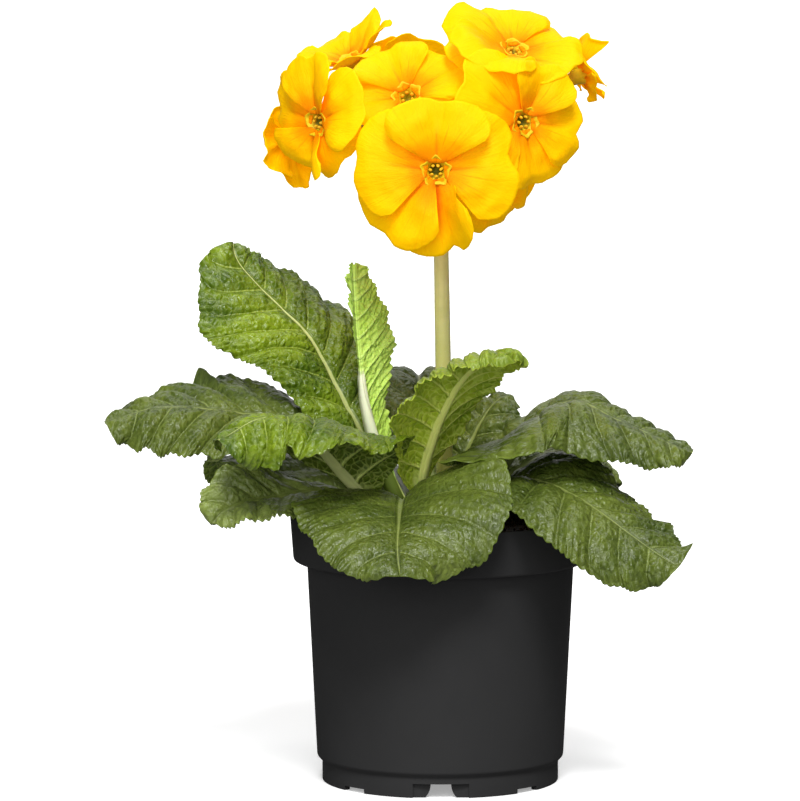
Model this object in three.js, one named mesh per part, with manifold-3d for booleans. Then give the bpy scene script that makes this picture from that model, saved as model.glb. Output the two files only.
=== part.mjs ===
// A potted oxlip (Primula, polyanthus group) in a round nursery pot: a rosette of crinkled, toothed leaves
// round a short crown, and one upright stalk with an umbel of yellow five-petalled flowers.
// Millimetres, +Z up; -Y is the front of the plant and +X its right.
import * as THREE from "three";
import { mergeVertices } from "three/addons/utils/BufferGeometryUtils.js";
import Module from "manifold-3d";

const wasm = await Module();
wasm.setup();

const rad = THREE.MathUtils.degToRad;
const mix = THREE.MathUtils.lerp;
const clamp01 = (x) => Math.min(1, Math.max(0, x));

// Where the pot's axis stands in the part's frame, whose origin is the centre of the whole plant's footprint.
const POT_AXIS = [14.8, 0, 0];

// The gap kept between pieces that touch.
const GAP = 0.35;

// The nursery pot, 10.5 cm across its rim.
const POT = {
  sides: 44,
  rimTop: 52.5,
  rimFoot: 51.6,
  rimHeight: 16,
  height: 93.5,
  bodyTop: 46.6,
  bodyFoot: 43.1,
  footRadius: 41.3,
  footHeight: 7,
  footWall: 2.6,
  wall: 1.3,
  floorUnderside: 5.4,
};

// Cut-outs in the foot ring: two deep ones, front and back, and four shallow ones between them.
const DEEP_NOTCH = { width: 19.4, height: 5, azimuths: [-90, 90] };
const SHALLOW_NOTCH = { width: 10, height: 1.6, azimuths: [-137, -43, 43, 137] };
const NOTCH_ARCH = { topWidth: 7, footWidth: 13.5 };
const DRAIN_HOLES = { count: 6, radius: 3, circle: 30, sides: 8 };

const SOIL = { sides: 30, rings: 4, edgeHeight: 87.2, crownHeight: 87.8, grain: 0.9 };
const CROWN = { centre: [-4.4, 0], radii: [17, 10.8], foot: 70, top: 89.2, sides: 16 };

const LEAF = { thickness: 0.7, petioleHalfWidth: 2.2, ribDepth: 2.2, ribTipDepth: 0.4, veinSlant: 0.8 };

// One entry for each leaf. spine: points of the midrib from the crown to the tip. stalk: share of the
// length that is bare petiole. halfWidth: of the blade, widest at the share "widest" of its length.
// heading: direction that the leaf grows in, in degrees from +X, where its spine is too upright to tell.
// left, right: the slopes of each half in degrees, at the midrib and at the margin, at even steps from
// foot to tip; left is seen from the foot. ruffle, waves, phase: wave of the margin. veins: side veins
// on each half.
const LEAVES = [
  {
    name: "leaf_upper_left",
    spine: [
      [-8.5, 1.5, 91], [-21, 7, 110], [-32, 13, 129], [-44.5, 19, 152.5],
      [-54.5, 23, 163], [-65.5, 27, 172], [-73.5, 31, 177], [-74, 34, 183],
    ],
    stalk: 0.2, halfWidth: 25, widest: 0.52, heading: 153,
    left: [[0, -20], [-6, -36], [-34, -72], [-40, -90]], right: [[10, 10], [25, 0], [25, -5], [20, 0]],
    ruffle: 1.2, waves: 4, phase: 0.4, veins: 7, colour: 0x5f8a2a,
  },
  {
    name: "leaf_folded_young",
    spine: [
      [-11.5, -3.5, 91], [-20.5, -8, 112], [-26, -11, 132],
      [-27, -11, 149], [-28, -7.5, 168], [-29, -3, 182],
    ],
    stalk: 0.22, halfWidth: 16, widest: 0.5, heading: -90,
    left: [[70, 70], [62, 72], [48, 62], [40, 60]], right: [[75, 60], [100, 60], [100, 50], [90, 50]],
    ruffle: 0.8, waves: 6, phase: 0, veins: 6, colour: 0x86b53a,
  },
  {
    name: "leaf_left_long",
    spine: [
      [-17.5, 3, 91], [-34, 1, 113], [-50, -1, 126], [-68, -3, 129.5],
      [-86, -5, 132], [-101, -7, 132], [-117, -9, 127],
    ],
    stalk: 0.24, halfWidth: 25, widest: 0.6,
    left: [[10, -10], [0, -40], [-18, -54], [-40, -80]], right: [[10, 10], [20, 20], [25, -5], [15, -20]],
    ruffle: 2.0, waves: 4, phase: 1.2, veins: 7, colour: 0x47662f,
  },
  {
    name: "leaf_left_front",
    spine: [
      [-15.5, -5.5, 91], [-30, -15, 106], [-42, -29, 120.5],
      [-49, -43, 129.5], [-53, -54, 132], [-56, -63, 129],
    ],
    stalk: 0.14, halfWidth: 27, widest: 0.6, heading: -125,
    left: [[70, 60], [55, 55], [15, -10], [-30, -80]], right: [[20, 20], [15, 5], [0, -40], [-20, -70]],
    ruffle: 1.8, waves: 4, phase: 2.2, veins: 6, colour: 0x56762f,
  },
  {
    name: "leaf_left_low",
    spine: [
      [-18, -1.5, 91], [-32, -7.5, 101], [-45, -15, 103.5], [-56, -23, 102.5],
      [-66, -30, 102], [-75, -35, 100], [-82, -39, 95],
    ],
    stalk: 0.2, halfWidth: 18, widest: 0.6,
    left: [[0, -20], [-10, -30], [0, -30], [-10, -50]], right: [[10, 10], [5, -5], [40, 15], [30, -10]],
    ruffle: 1.4, waves: 4, phase: 0.8, veins: 6, colour: 0x3f5d2b,
  },
  {
    name: "leaf_left_back",
    spine: [[-13.5, 6.5, 91], [-30, 14, 106], [-43, 23, 112], [-52, 31, 109], [-60, 39, 100], [-67, 45, 90]],
    stalk: 0.22, halfWidth: 20, widest: 0.55,
    left: [[10, 0], [10, -20], [-5, -40], [-10, -60]], right: [[10, 0], [10, -20], [-5, -40], [-10, -60]],
    ruffle: 1.4, waves: 4, phase: 2.8, veins: 5, colour: 0x4c652f,
  },
  {
    name: "leaf_right_centre",
    spine: [
      [-6.5, -7, 91], [-7, -14, 108.5], [-3.5, -20, 122], [0.5, -27, 133],
      [6, -35, 144], [13, -44, 152], [20, -53, 155.5], [25, -60, 154],
    ],
    stalk: 0.14, halfWidth: 21, widest: 0.55, heading: -60,
    left: [[45, 30], [40, 10], [30, -25], [20, -90]], right: [[0, -60], [10, -45], [15, -45], [15, -60]],
    ruffle: 1.2, waves: 5, phase: 0.2, veins: 6, colour: 0x86b53a,
  },
  {
    name: "leaf_front",
    spine: [
      [-11.5, -9, 91.5], [-13, -20, 101.5], [-14, -36, 101],
      [-14.5, -54, 98], [-15, -70, 91], [-14, -80, 83],
    ],
    stalk: 0.12, halfWidth: 40, widest: 0.47, heading: -92,
    left: [[30, 20], [35, 25], [10, 0], [-20, -60]], right: [[10, -5], [15, -10], [10, -15], [5, -30]],
    ruffle: 1.8, waves: 4, phase: 1.9, veins: 6, colour: 0x4e7033,
  },
  {
    name: "leaf_right_long",
    spine: [
      [8, 0.5, 91], [23, -6.5, 114], [31.5, -10.5, 125.5], [38.5, -14, 133],
      [48, -17, 135.5], [59, -20, 130.5], [71, -22, 125.5], [87, -24, 118],
    ],
    stalk: 0.14, halfWidth: 25, widest: 0.52,
    left: [[20, 10], [25, -20], [30, -50], [15, -30]], right: [[10, -10], [0, -35], [-5, -45], [-10, -60]],
    ruffle: 1.6, waves: 4, phase: 0.9, veins: 7, colour: 0x4a6a30,
  },
  {
    name: "leaf_right_low",
    spine: [
      [6.5, -5.5, 91], [20.5, -14, 103.5], [29, -24, 109], [39, -33, 108],
      [49, -42, 104], [58, -48, 98.5], [67.5, -53, 92], [81, -58, 83],
    ],
    stalk: 0.16, halfWidth: 25, widest: 0.55,
    left: [[20, 20], [20, 0], [5, -15], [10, 10]], right: [[10, -10], [5, -25], [-5, -40], [-45, -90]],
    ruffle: 1.4, waves: 4, phase: 2.5, veins: 7, colour: 0x47662f,
  },
  {
    name: "leaf_right_behind",
    spine: [[1.5, 4.5, 91], [6, 7, 106], [11, 10, 119], [16, 14, 128], [20.5, 18, 132.5], [25, 22, 133]],
    stalk: 0.26, halfWidth: 14, widest: 0.55, heading: 28,
    left: [[20, 20], [20, 0], [10, -20], [0, -40]], right: [[0, -20], [-20, -40], [-20, -60], [-20, -60]],
    ruffle: 1.0, waves: 4, phase: 0.5, veins: 5, colour: 0x4a6a30,
  },
  {
    name: "leaf_back_centre",
    spine: [[-4, 5, 91], [-5, 14, 107], [-6, 24, 123], [-7, 36, 134], [-7.5, 49, 137.5], [-8, 63, 132]],
    stalk: 0.2, halfWidth: 17, widest: 0.55,
    left: [[20, 20], [30, 0], [30, -15], [10, -50]], right: [[20, 20], [30, 0], [30, -15], [10, -50]],
    ruffle: 1.8, waves: 4, phase: 1.5, veins: 5, colour: 0x3f5d2b,
  },
  {
    name: "leaf_back_right",
    spine: [[6.5, 7, 91], [14, 24, 98.5], [21, 40, 101], [28, 54, 98.5], [33, 65, 90], [36, 73, 80]],
    stalk: 0.22, halfWidth: 23, widest: 0.55,
    left: [[20, 0], [20, -20], [5, -30], [0, -50]], right: [[20, 0], [10, -20], [0, -30], [-10, -50]],
    ruffle: 1.6, waves: 4, phase: 2.1, veins: 5, colour: 0x47662f,
  },
  {
    name: "leaf_right_back",
    spine: [[10, 4.5, 91], [24, 13, 105], [37, 20, 112.5], [48, 26, 113], [57, 31, 108], [63, 35, 101]],
    stalk: 0.22, halfWidth: 19, widest: 0.55,
    left: [[20, 0], [20, -10], [10, -20], [0, -50]], right: [[20, 0], [10, -20], [0, -30], [-10, -50]],
    ruffle: 1.4, waves: 4, phase: 1.1, veins: 5, colour: 0x54705a,
  },
  {
    name: "leaf_back_low",
    spine: [[-8.5, 9, 91], [-13, 29, 99.5], [-17, 47, 103], [-20, 61, 101], [-22, 72, 93], [-23, 80, 82]],
    stalk: 0.22, halfWidth: 21, widest: 0.55,
    left: [[20, 0], [15, -20], [5, -30], [0, -50]], right: [[20, 0], [15, -20], [5, -30], [0, -50]],
    ruffle: 1.4, waves: 4, phase: 0.3, veins: 5, colour: 0x3f5d2b,
  },
];

const UMBEL = [-0.6, 0, 221];
const SCAPE = { foot: [1.6, -1, 89.6], radiusFoot: 3.1, radiusTop: 2.5, sides: 8, steps: 5 };
const BRACTS = { count: 6, length: 8, width: 1.5 };
const CALYX = {
  length: 9.5,
  notch: 6.6,
  rootRadius: 1.3,
  bellyRadius: 3.3,
  mouthRadius: 3.8,
  holeRadius: 2,
  holeFoot: 2.6,
};
const COROLLA = {
  tube: 15,
  tubeRadius: 1.4,
  throatDepth: 2.6,
  throatRadius: 2.2,
  starRadii: [3.9, 3.1],
  starRise: 0.9,
};
const PETAL = { thickness: 0.65, root: 3.9, clawHalfWidth: 1.27, imbrication: 9 };

// One entry for each bloom. eye: centre of its throat. azimuth: 0 faces the front, 90 the right.
// elevation: upwards. radius: to a petal's tip. spin: turn of its petals about the tube. reach: share of
// the radius that each petal has, from the uppermost one counter-clockwise. rise, reflex: how the petals
// lift, then turn back.
const BLOOMS = [
  {
    name: "bloom_front", eye: [-1.9, -44, 217], azimuth: -2, elevation: -5, radius: 28.5,
    spin: 0, reach: [0.9, 1, 1.06, 1.07, 1], rise: 0.22, reflex: 0.3, phase: 0.3,
  },
  {
    name: "bloom_right_front", eye: [28, -28.5, 232.5], azimuth: 28, elevation: 0, radius: 23.5,
    spin: -25, reach: [0.95, 1, 0.9, 1, 1], rise: 0.26, reflex: 0.26, phase: 1.1,
  },
  {
    name: "bloom_left_front", eye: [-42, -22, 232], azimuth: -48, elevation: -4, radius: 24.5,
    spin: 2, reach: [1, 1, 0.75, 0.75, 1], rise: 0.26, reflex: 0.3, phase: 2,
  },
  {
    name: "bloom_left_upper", eye: [-11.5, -18, 242], azimuth: -8, elevation: 32, radius: 20.5,
    spin: 12, reach: [1, 1, 0.85, 0.85, 1], rise: 0.36, reflex: 0.28, phase: 0.7,
  },
  {
    name: "bloom_top_right", eye: [25, -8.6, 255], azimuth: 25, elevation: 55, radius: 24,
    spin: -12, reach: [0.95, 1, 1, 0.85, 0.95], rise: 0.36, reflex: 0.26, phase: 2.6,
  },
  {
    name: "bloom_top_back", eye: [24.5, 23.5, 251], azimuth: 150, elevation: 36, radius: 20.5,
    spin: 0, reach: [1, 1, 0.9, 0.9, 1], rise: 0.3, reflex: 0.2, phase: 0.2,
  },
  {
    name: "bloom_right_back", eye: [47.5, 4.5, 246], azimuth: 112, elevation: 26, radius: 15.5,
    spin: 30, reach: [1, 1, 0.9, 0.8, 0.9], rise: 0.44, reflex: 0.16, phase: 1.6,
  },
  {
    name: "bloom_left_top", eye: [-31, 9, 250], azimuth: -50, elevation: 62, radius: 19.5,
    spin: 10, reach: [1, 1, 0.9, 0.9, 1], rise: 0.5, reflex: 0.2, phase: 2.3,
  },
  {
    name: "bloom_left_back", eye: [-51, 10, 225], azimuth: -128, elevation: -8, radius: 19,
    spin: 36, reach: [0.9, 1, 1, 1, 0.9], rise: 0.26, reflex: 0.3, phase: 0.9,
  },
  {
    name: "bloom_right_low", eye: [18, -19, 208], azimuth: 35, elevation: -30, radius: 16.5,
    spin: 0, reach: [0.9, 0.95, 1, 1, 0.95], rise: 0.3, reflex: 0.3, phase: 1.9,
  },
  {
    name: "bloom_back_left", eye: [-14, 34, 240], azimuth: -162, elevation: 20, radius: 22,
    spin: 20, reach: [1, 0.95, 1, 1, 0.95], rise: 0.3, reflex: 0.3, phase: 0.4,
  },
  {
    name: "bloom_back_right", eye: [22, 37, 218.5], azimuth: 146, elevation: -8, radius: 22,
    spin: 50, reach: [1, 0.95, 1, 1, 0.95], rise: 0.3, reflex: 0.3, phase: 2.8,
  },
];

const YOUNG_BUDS = {
  foot: [-4.5, -1, 89.95],
  head: [-13, -0.5, 118],
  stemRadius: 1.3,
  buds: 4,
  budLength: 11,
  budRadius: 2.1,
};

// Solids and geometries

// A closed geometry as a solid, with its shared vertices merged.
function solidOf(geometry) {
  const bare = geometry.clone();
  bare.deleteAttribute("normal");
  bare.deleteAttribute("uv");
  const merged = mergeVertices(bare, 1e-4);
  return new wasm.Manifold(
    new wasm.Mesh({
      numProp: 3,
      vertProperties: merged.attributes.position.array,
      triVerts: new Uint32Array(merged.index.array),
    }),
  );
}

function geometryOf(solid) {
  const { numProp, numVert, vertProperties, triVerts } = solid.getMesh();
  const position = new Float32Array(numVert * 3);
  for (let i = 0; i < numVert; i++) {
    position.set(vertProperties.subarray(i * numProp, i * numProp + 3), i * 3);
  }
  const geometry = new THREE.BufferGeometry();
  geometry.setAttribute("position", new THREE.BufferAttribute(position, 3));
  geometry.setIndex(new THREE.BufferAttribute(new Uint32Array(triVerts), 1));
  return geometry.toNonIndexed();
}

// Drops the scraps that a cut leaves loose, and keeps the largest body.
function largestBody(solid) {
  return solid.decompose().sort((a, b) => b.volume() - a.volume())[0];
}

function joined(solids) {
  return solids.reduce((sum, next) => sum.add(next));
}

function geometryFrom(points, triangles) {
  const geometry = new THREE.BufferGeometry();
  geometry.setAttribute("position", new THREE.Float32BufferAttribute(points.flatMap((p) => p.toArray()), 3));
  geometry.setIndex(triangles.flat());
  return geometry;
}

// A thin solid between two sheets of points with the same rows and columns, both split along the same
// diagonals.
function slab(upper, lower) {
  const rows = upper.length;
  const columns = upper[0].length;
  const points = [...upper.flat(), ...lower.flat()];
  const top = (i, j) => i * columns + j;
  const under = (i, j) => rows * columns + top(i, j);
  const triangles = [];
  const quad = (a, b, c, d) => triangles.push([a, b, c], [a, c, d]);
  for (let i = 0; i < rows - 1; i++) {
    for (let j = 0; j < columns - 1; j++) {
      quad(top(i, j), top(i + 1, j), top(i + 1, j + 1), top(i, j + 1));
      triangles.push([under(i, j), under(i + 1, j + 1), under(i + 1, j)]);
      triangles.push([under(i, j), under(i, j + 1), under(i + 1, j + 1)]);
    }
    quad(top(i, 0), under(i, 0), under(i + 1, 0), top(i + 1, 0));
    quad(top(i + 1, columns - 1), under(i + 1, columns - 1), under(i, columns - 1), top(i, columns - 1));
  }
  for (let j = 0; j < columns - 1; j++) {
    quad(top(0, j + 1), under(0, j + 1), under(0, j), top(0, j));
    quad(top(rows - 1, j), under(rows - 1, j), under(rows - 1, j + 1), top(rows - 1, j + 1));
  }
  return geometryFrom(points, triangles);
}

// A closed skin over rings of points, with a point at each end; each ring has the same number of points.
function skinOver(start, rings, end) {
  const sides = rings[0].length;
  const points = [start, ...rings.flat(), end];
  const at = (ring, side) => 1 + ring * sides + (side % sides);
  const triangles = [];
  for (let k = 0; k < sides; k++) {
    triangles.push([0, at(0, k + 1), at(0, k)]);
    for (let r = 0; r < rings.length - 1; r++) {
      triangles.push([at(r, k), at(r, k + 1), at(r + 1, k + 1)]);
      triangles.push([at(r, k), at(r + 1, k + 1), at(r + 1, k)]);
    }
    triangles.push([at(rings.length - 1, k), at(rings.length - 1, k + 1), points.length - 1]);
  }
  return geometryFrom(points, triangles);
}

// A round, tapered stem along a curve.
function stemAlong(curve, radiusFoot, radiusTop, sides, steps) {
  const frames = curve.computeFrenetFrames(steps, false);
  const rings = [];
  for (let i = 0; i <= steps; i++) {
    const centre = curve.getPointAt(i / steps);
    const radius = mix(radiusFoot, radiusTop, i / steps);
    rings.push(
      Array.from({ length: sides }, (_, k) => {
        const angle = (2 * Math.PI * k) / sides;
        return centre
          .clone()
          .addScaledVector(frames.normals[i], radius * Math.cos(angle))
          .addScaledVector(frames.binormals[i], radius * Math.sin(angle));
      }),
    );
  }
  return skinOver(curve.getPointAt(0), rings, curve.getPointAt(1));
}

// A right-handed set of axes whose third axis is the direction given.
function axesFacing(direction) {
  const ahead = direction.clone().normalize();
  const side = new THREE.Vector3(-ahead.y, ahead.x, 0).normalize();
  const up = ahead.clone().cross(side).normalize();
  return { side, up, ahead };
}

function placed(axes, origin, x, y, z) {
  return origin
    .clone()
    .addScaledVector(axes.side, x)
    .addScaledVector(axes.up, y)
    .addScaledVector(axes.ahead, z);
}

// The nursery pot

function potGeometry() {
  const shoulder = 1.8;
  const roundedLip = 0.9;
  const rimInner = POT.rimTop - POT.wall - 0.2;
  const profile = [
    [0, POT.floorUnderside],
    [POT.footRadius - POT.footWall, POT.floorUnderside],
    [POT.footRadius - POT.footWall, 0],
    [POT.footRadius, 0],
    [POT.footRadius, POT.footHeight],
    [POT.bodyFoot, POT.footHeight + shoulder],
    [POT.bodyTop, POT.height - POT.rimHeight],
    [POT.rimFoot - roundedLip, POT.height - POT.rimHeight],
    [POT.rimFoot, POT.height - POT.rimHeight + roundedLip],
    [POT.rimTop, POT.height],
    [rimInner, POT.height],
    [POT.rimFoot - POT.wall - 0.3, POT.height - POT.rimHeight + POT.wall],
    [POT.bodyTop - POT.wall, POT.height - POT.rimHeight + POT.wall],
    [POT.bodyFoot - POT.wall, POT.footHeight + shoulder],
    [POT.footRadius - POT.wall, POT.floorUnderside + POT.wall],
    [0, POT.floorUnderside + POT.wall],
  ].map(([radius, height]) => new THREE.Vector2(radius, height));
  const shell = new THREE.LatheGeometry(profile, POT.sides).rotateX(Math.PI / 2);
  let pot = solidOf(shell);

  const cutInFoot = (shape, azimuth, from, depth) => {
    const cutter = new THREE.ExtrudeGeometry(shape, { depth, bevelEnabled: false })
      .rotateX(Math.PI / 2)
      .translate(0, -from, 0)
      .rotateZ(rad(azimuth + 90));
    pot = pot.subtract(solidOf(cutter));
  };
  const below = -1;
  const rectangle = ({ width, height }) =>
    new THREE.Shape(
      [[-width / 2, below], [width / 2, below], [width / 2, height], [-width / 2, height]].map(
        ([x, y]) => new THREE.Vector2(x, y),
      ),
    );
  const arch = new THREE.Shape();
  arch.moveTo(-NOTCH_ARCH.footWidth / 2, below);
  arch.lineTo(NOTCH_ARCH.footWidth / 2, below);
  arch.quadraticCurveTo(NOTCH_ARCH.topWidth / 2, 1, NOTCH_ARCH.topWidth / 2, DEEP_NOTCH.height);
  arch.lineTo(-NOTCH_ARCH.topWidth / 2, DEEP_NOTCH.height);
  arch.quadraticCurveTo(-NOTCH_ARCH.topWidth / 2, 1, -NOTCH_ARCH.footWidth / 2, below);

  for (const azimuth of DEEP_NOTCH.azimuths) {
    cutInFoot(rectangle(DEEP_NOTCH), azimuth, POT.footRadius - 2.4, 6);
    cutInFoot(arch, azimuth, POT.footRadius - 8, 12);
  }
  for (const azimuth of SHALLOW_NOTCH.azimuths) {
    cutInFoot(rectangle(SHALLOW_NOTCH), azimuth, POT.footRadius - 6, 10);
  }
  for (let k = 0; k < DRAIN_HOLES.count; k++) {
    const azimuth = (2 * Math.PI * (k + 0.5)) / DRAIN_HOLES.count;
    const hole = new THREE.CylinderGeometry(DRAIN_HOLES.radius, DRAIN_HOLES.radius, 6, DRAIN_HOLES.sides)
      .rotateX(Math.PI / 2)
      .translate(DRAIN_HOLES.circle, 0, POT.floorUnderside)
      .rotateZ(azimuth);
    pot = pot.subtract(solidOf(hole));
  }
  return geometryOf(largestBody(pot));
}

// The soil and the crown

// Height of the crumbly soil over its plain level.
function soilGrain(x, y) {
  const crumbs = Math.sin(x * 0.93 + 1.3) * Math.cos(y * 0.81 - 0.4);
  const swells = 0.5 * Math.sin(x * 0.37 - y * 0.52);
  return SOIL.grain * (crumbs + swells);
}

function crownBarrel(grow, foot, top) {
  return new THREE.CylinderGeometry(1, 1, top - foot, CROWN.sides)
    .rotateX(Math.PI / 2)
    .scale(CROWN.radii[0] + grow, CROWN.radii[1] + grow, 1)
    .translate(CROWN.centre[0], CROWN.centre[1], (foot + top) / 2);
}

function soilGeometry() {
  const inner = (height, radius) => ({ height, radius: radius - GAP });
  const walls = [
    inner(POT.floorUnderside + POT.wall + GAP, POT.footRadius - POT.wall),
    inner(POT.footHeight + 2.4, POT.bodyFoot - POT.wall),
    inner(POT.height - POT.rimHeight + POT.wall + GAP, POT.bodyTop - POT.wall),
    inner(POT.height - POT.rimHeight + POT.wall + 2 * GAP, POT.rimFoot - POT.wall - 0.5),
    inner(SOIL.edgeHeight, POT.rimFoot - POT.wall - 0.3),
  ];
  const ring = (radius, heightAt) =>
    Array.from({ length: SOIL.sides }, (_, k) => {
      const angle = (2 * Math.PI * k) / SOIL.sides;
      const [x, y] = [radius * Math.cos(angle), radius * Math.sin(angle)];
      return new THREE.Vector3(x, y, heightAt(x, y));
    });
  const rings = walls.map(({ height, radius }) => ring(radius, () => height));
  const rimRadius = walls.at(-1).radius;
  const crownRadius = 22;
  for (let i = 1; i <= SOIL.rings; i++) {
    const share = i / SOIL.rings;
    const radius = mix(rimRadius, crownRadius, share);
    const level = mix(SOIL.edgeHeight, SOIL.crownHeight, share);
    const roughness = i === SOIL.rings ? 0 : 1;
    rings.push(ring(radius, (x, y) => level - 0.3 + roughness * 0.5 * soilGrain(x, y)));
  }
  const bottom = new THREE.Vector3(0, 0, walls[0].height);
  const middle = new THREE.Vector3(0, 0, SOIL.crownHeight - 0.3);
  const filling = solidOf(skinOver(bottom, rings, middle));
  return geometryOf(largestBody(filling.subtract(solidOf(crownBarrel(GAP, CROWN.foot - GAP, CROWN.top)))));
}

function crownGeometry() {
  const { centre, radii, foot, top, sides } = CROWN;
  const levels = [
    [foot, 0.8],
    [foot + 8, 1],
    [top - 1.8, 1],
    [top, 0.86],
  ];
  const rings = levels.map(([height, share]) =>
    Array.from({ length: sides }, (_, k) => {
      const angle = (2 * Math.PI * k) / sides;
      const x = centre[0] + radii[0] * share * Math.cos(angle);
      const y = centre[1] + radii[1] * share * Math.sin(angle);
      return new THREE.Vector3(x, y, height);
    }),
  );
  return skinOver(new THREE.Vector3(...centre, foot), rings, new THREE.Vector3(...centre, top));
}

// Leaves

// A value read off a list of values, or of lists of values, at even steps from 0 to 1.
function alongList(values, share) {
  if (Array.isArray(values[0])) {
    return values[0].map((_, k) => alongList(values.map((entry) => entry[k]), share));
  }
  const last = values.length - 1;
  const x = clamp01(share) * last;
  const i = Math.min(Math.floor(x), last - 1);
  const before = i > 0 ? values[i - 1] : 2 * values[0] - values[1];
  const after = i < last - 1 ? values[i + 2] : 2 * values[last] - values[last - 1];
  const [from, to, t] = [values[i], values[i + 1], x - i];
  const bend = (3 * from - before - 3 * to + after) * t + 2 * before - 5 * from + 4 * to - after;
  return from + 0.5 * t * (to - before + t * bend);
}

// Share of the full half width at a share u of the blade's length.
function bladeOutline(u, widest) {
  const bulge = Math.sin(Math.PI * Math.pow(clamp01(u), Math.log(0.5) / Math.log(widest)));
  return Math.pow(Math.max(bulge, 0), mix(1.15, 0.5, clamp01(u)));
}

// The leaf as a surface: along, from 0 at its foot to 1 at its tip, follows a side vein outwards; across
// runs from -1 to 1 over the blade. Gives the point on the upper face, its normal and the thickness there.
function leafSurface(leaf) {
  const spine = leaf.spine.map((point) => new THREE.Vector3(...point));
  const curve = new THREE.CatmullRomCurve3(spine, false, "catmullrom", 0.5);
  const chord = spine.at(-1).clone().sub(spine[0]);
  const heading = leaf.heading === undefined ? Math.atan2(chord.y, chord.x) : rad(leaf.heading);
  const outward = new THREE.Vector3(Math.cos(heading), Math.sin(heading), 0);
  const level = new THREE.Vector3(0, 0, 1).cross(outward);
  const blade = (s) => (s - leaf.stalk) / (1 - leaf.stalk);

  return (along, across) => {
    const hand = Math.sign(across) || 1;
    const share = Math.abs(across);
    const u = clamp01(blade(along));
    const s = along + LEAF.veinSlant * share * (1 - leaf.stalk) * u * (1 - u);
    const width = mix(LEAF.petioleHalfWidth, leaf.halfWidth, bladeOutline(blade(s), leaf.widest));
    const ahead = curve.getTangentAt(s);
    const side = level.clone().addScaledVector(ahead, -level.dot(ahead)).normalize();
    const up = ahead.clone().cross(side);

    const [inner, outer] = alongList(hand > 0 ? leaf.left : leaf.right, s).map(rad);
    const curl = outer - inner || 1e-4;
    const slope = inner + curl * share;
    const out = (width / curl) * (Math.sin(slope) - Math.sin(inner));
    const rise = (width / curl) * (Math.cos(inner) - Math.cos(slope));
    const tilt = share > 0 ? slope : 0;
    const normal = up.clone().multiplyScalar(Math.cos(tilt)).addScaledVector(side, -hand * Math.sin(tilt));

    const inBlade = clamp01(bladeOutline(u, leaf.widest) * 3);
    const pleat = Math.sin(Math.PI * u * leaf.veins) ** 2 * Math.min(1, share * 3) * (1 - 0.5 * share);
    const wave = leaf.ruffle * share ** 3 * Math.sin(2 * Math.PI * leaf.waves * u + leaf.phase + hand * 0.9);
    const point = curve
      .getPointAt(s)
      .addScaledVector(side, hand * out)
      .addScaledVector(up, rise)
      .addScaledVector(normal, inBlade * (1.3 * pleat + wave));
    const ribDepth = mix(LEAF.ribDepth, LEAF.ribTipDepth, s);
    const ribHalfWidth = mix(LEAF.petioleHalfWidth, 1, s);
    const thickness = LEAF.thickness + ribDepth * Math.max(0, 1 - (share * width) / ribHalfWidth);
    return { point, normal, thickness, width, ribHalfWidth };
  };
}

function leafGeometry(leaf) {
  const surface = leafSurface(leaf);
  const tooth = 0.05;
  const stalkRows = [0, 0.5];
  const bladeRows = Array.from({ length: 2 * leaf.veins + 1 }, (_, i) => i / (2 * leaf.veins));
  const tipShare = 0.985;
  const rows = [
    ...stalkRows.map((share) => share * leaf.stalk),
    ...bladeRows.map((share) => mix(leaf.stalk, 1, Math.min(share, tipShare))),
  ];
  const upper = [];
  const lower = [];
  rows.forEach((along, i) => {
    const { width, ribHalfWidth } = surface(along, 0);
    const rib = Math.min(0.45, ribHalfWidth / width);
    const edge = 1 + (i > stalkRows.length ? tooth * (i % 2 ? 1 : -1) : 0);
    const samples = [-edge, -0.6, -rib, 0, rib, 0.6, edge].map((across) => surface(along, across));
    upper.push(samples.map(({ point }) => point));
    lower.push(
      samples.map(({ point, normal, thickness }) => point.clone().addScaledVector(normal, -thickness)),
    );
  });
  return slab(upper, lower);
}

// Blooms

function facingOf({ azimuth, elevation }) {
  const [a, e] = [rad(azimuth), rad(elevation)];
  return new THREE.Vector3(Math.sin(a) * Math.cos(e), -Math.cos(a) * Math.cos(e), Math.sin(e));
}

// How far a bloom's face stands in front of its eye, at a distance from the axis.
function dishOf(bloom, distance) {
  const reach = distance / bloom.radius;
  return bloom.radius * (bloom.rise * reach - bloom.reflex * reach ** 2);
}

// A point of a petal's mid-surface in the bloom's own axes: along runs from its root to its edge, across
// from -1 to 1.
function petalPoint(bloom, petal, along, across) {
  const share = Math.abs(across);
  const notch = 0.16 * Math.exp(-((across / 0.22) ** 2));
  const tip = bloom.radius * bloom.reach[petal];
  const length = (tip - PETAL.root) * (1 - 0.42 * share ** 3 - notch);
  const opening = Math.sin((Math.PI / 2) * Math.min(1, along / 0.75));
  const halfWidth = mix(PETAL.clawHalfWidth, 0.6 * bloom.radius, opening);
  const x = across * halfWidth;
  const y = PETAL.root + length * along;
  const distance = Math.hypot(x, y);
  const overlap = x * Math.tan(rad(PETAL.imbrication));
  const groove = -0.9 * (1 - share) * Math.sin(Math.PI * along);
  const wave = Math.sin(2.6 * Math.PI * across + bloom.phase + 1.7 * petal);
  const ruffle = 1.2 * (distance / bloom.radius) ** 2 * wave;
  const turn = rad(bloom.spin + 72 * petal);
  return new THREE.Vector3(
    x * Math.cos(turn) - y * Math.sin(turn),
    x * Math.sin(turn) + y * Math.cos(turn),
    dishOf(bloom, distance) + overlap + groove + ruffle,
  );
}

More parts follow.
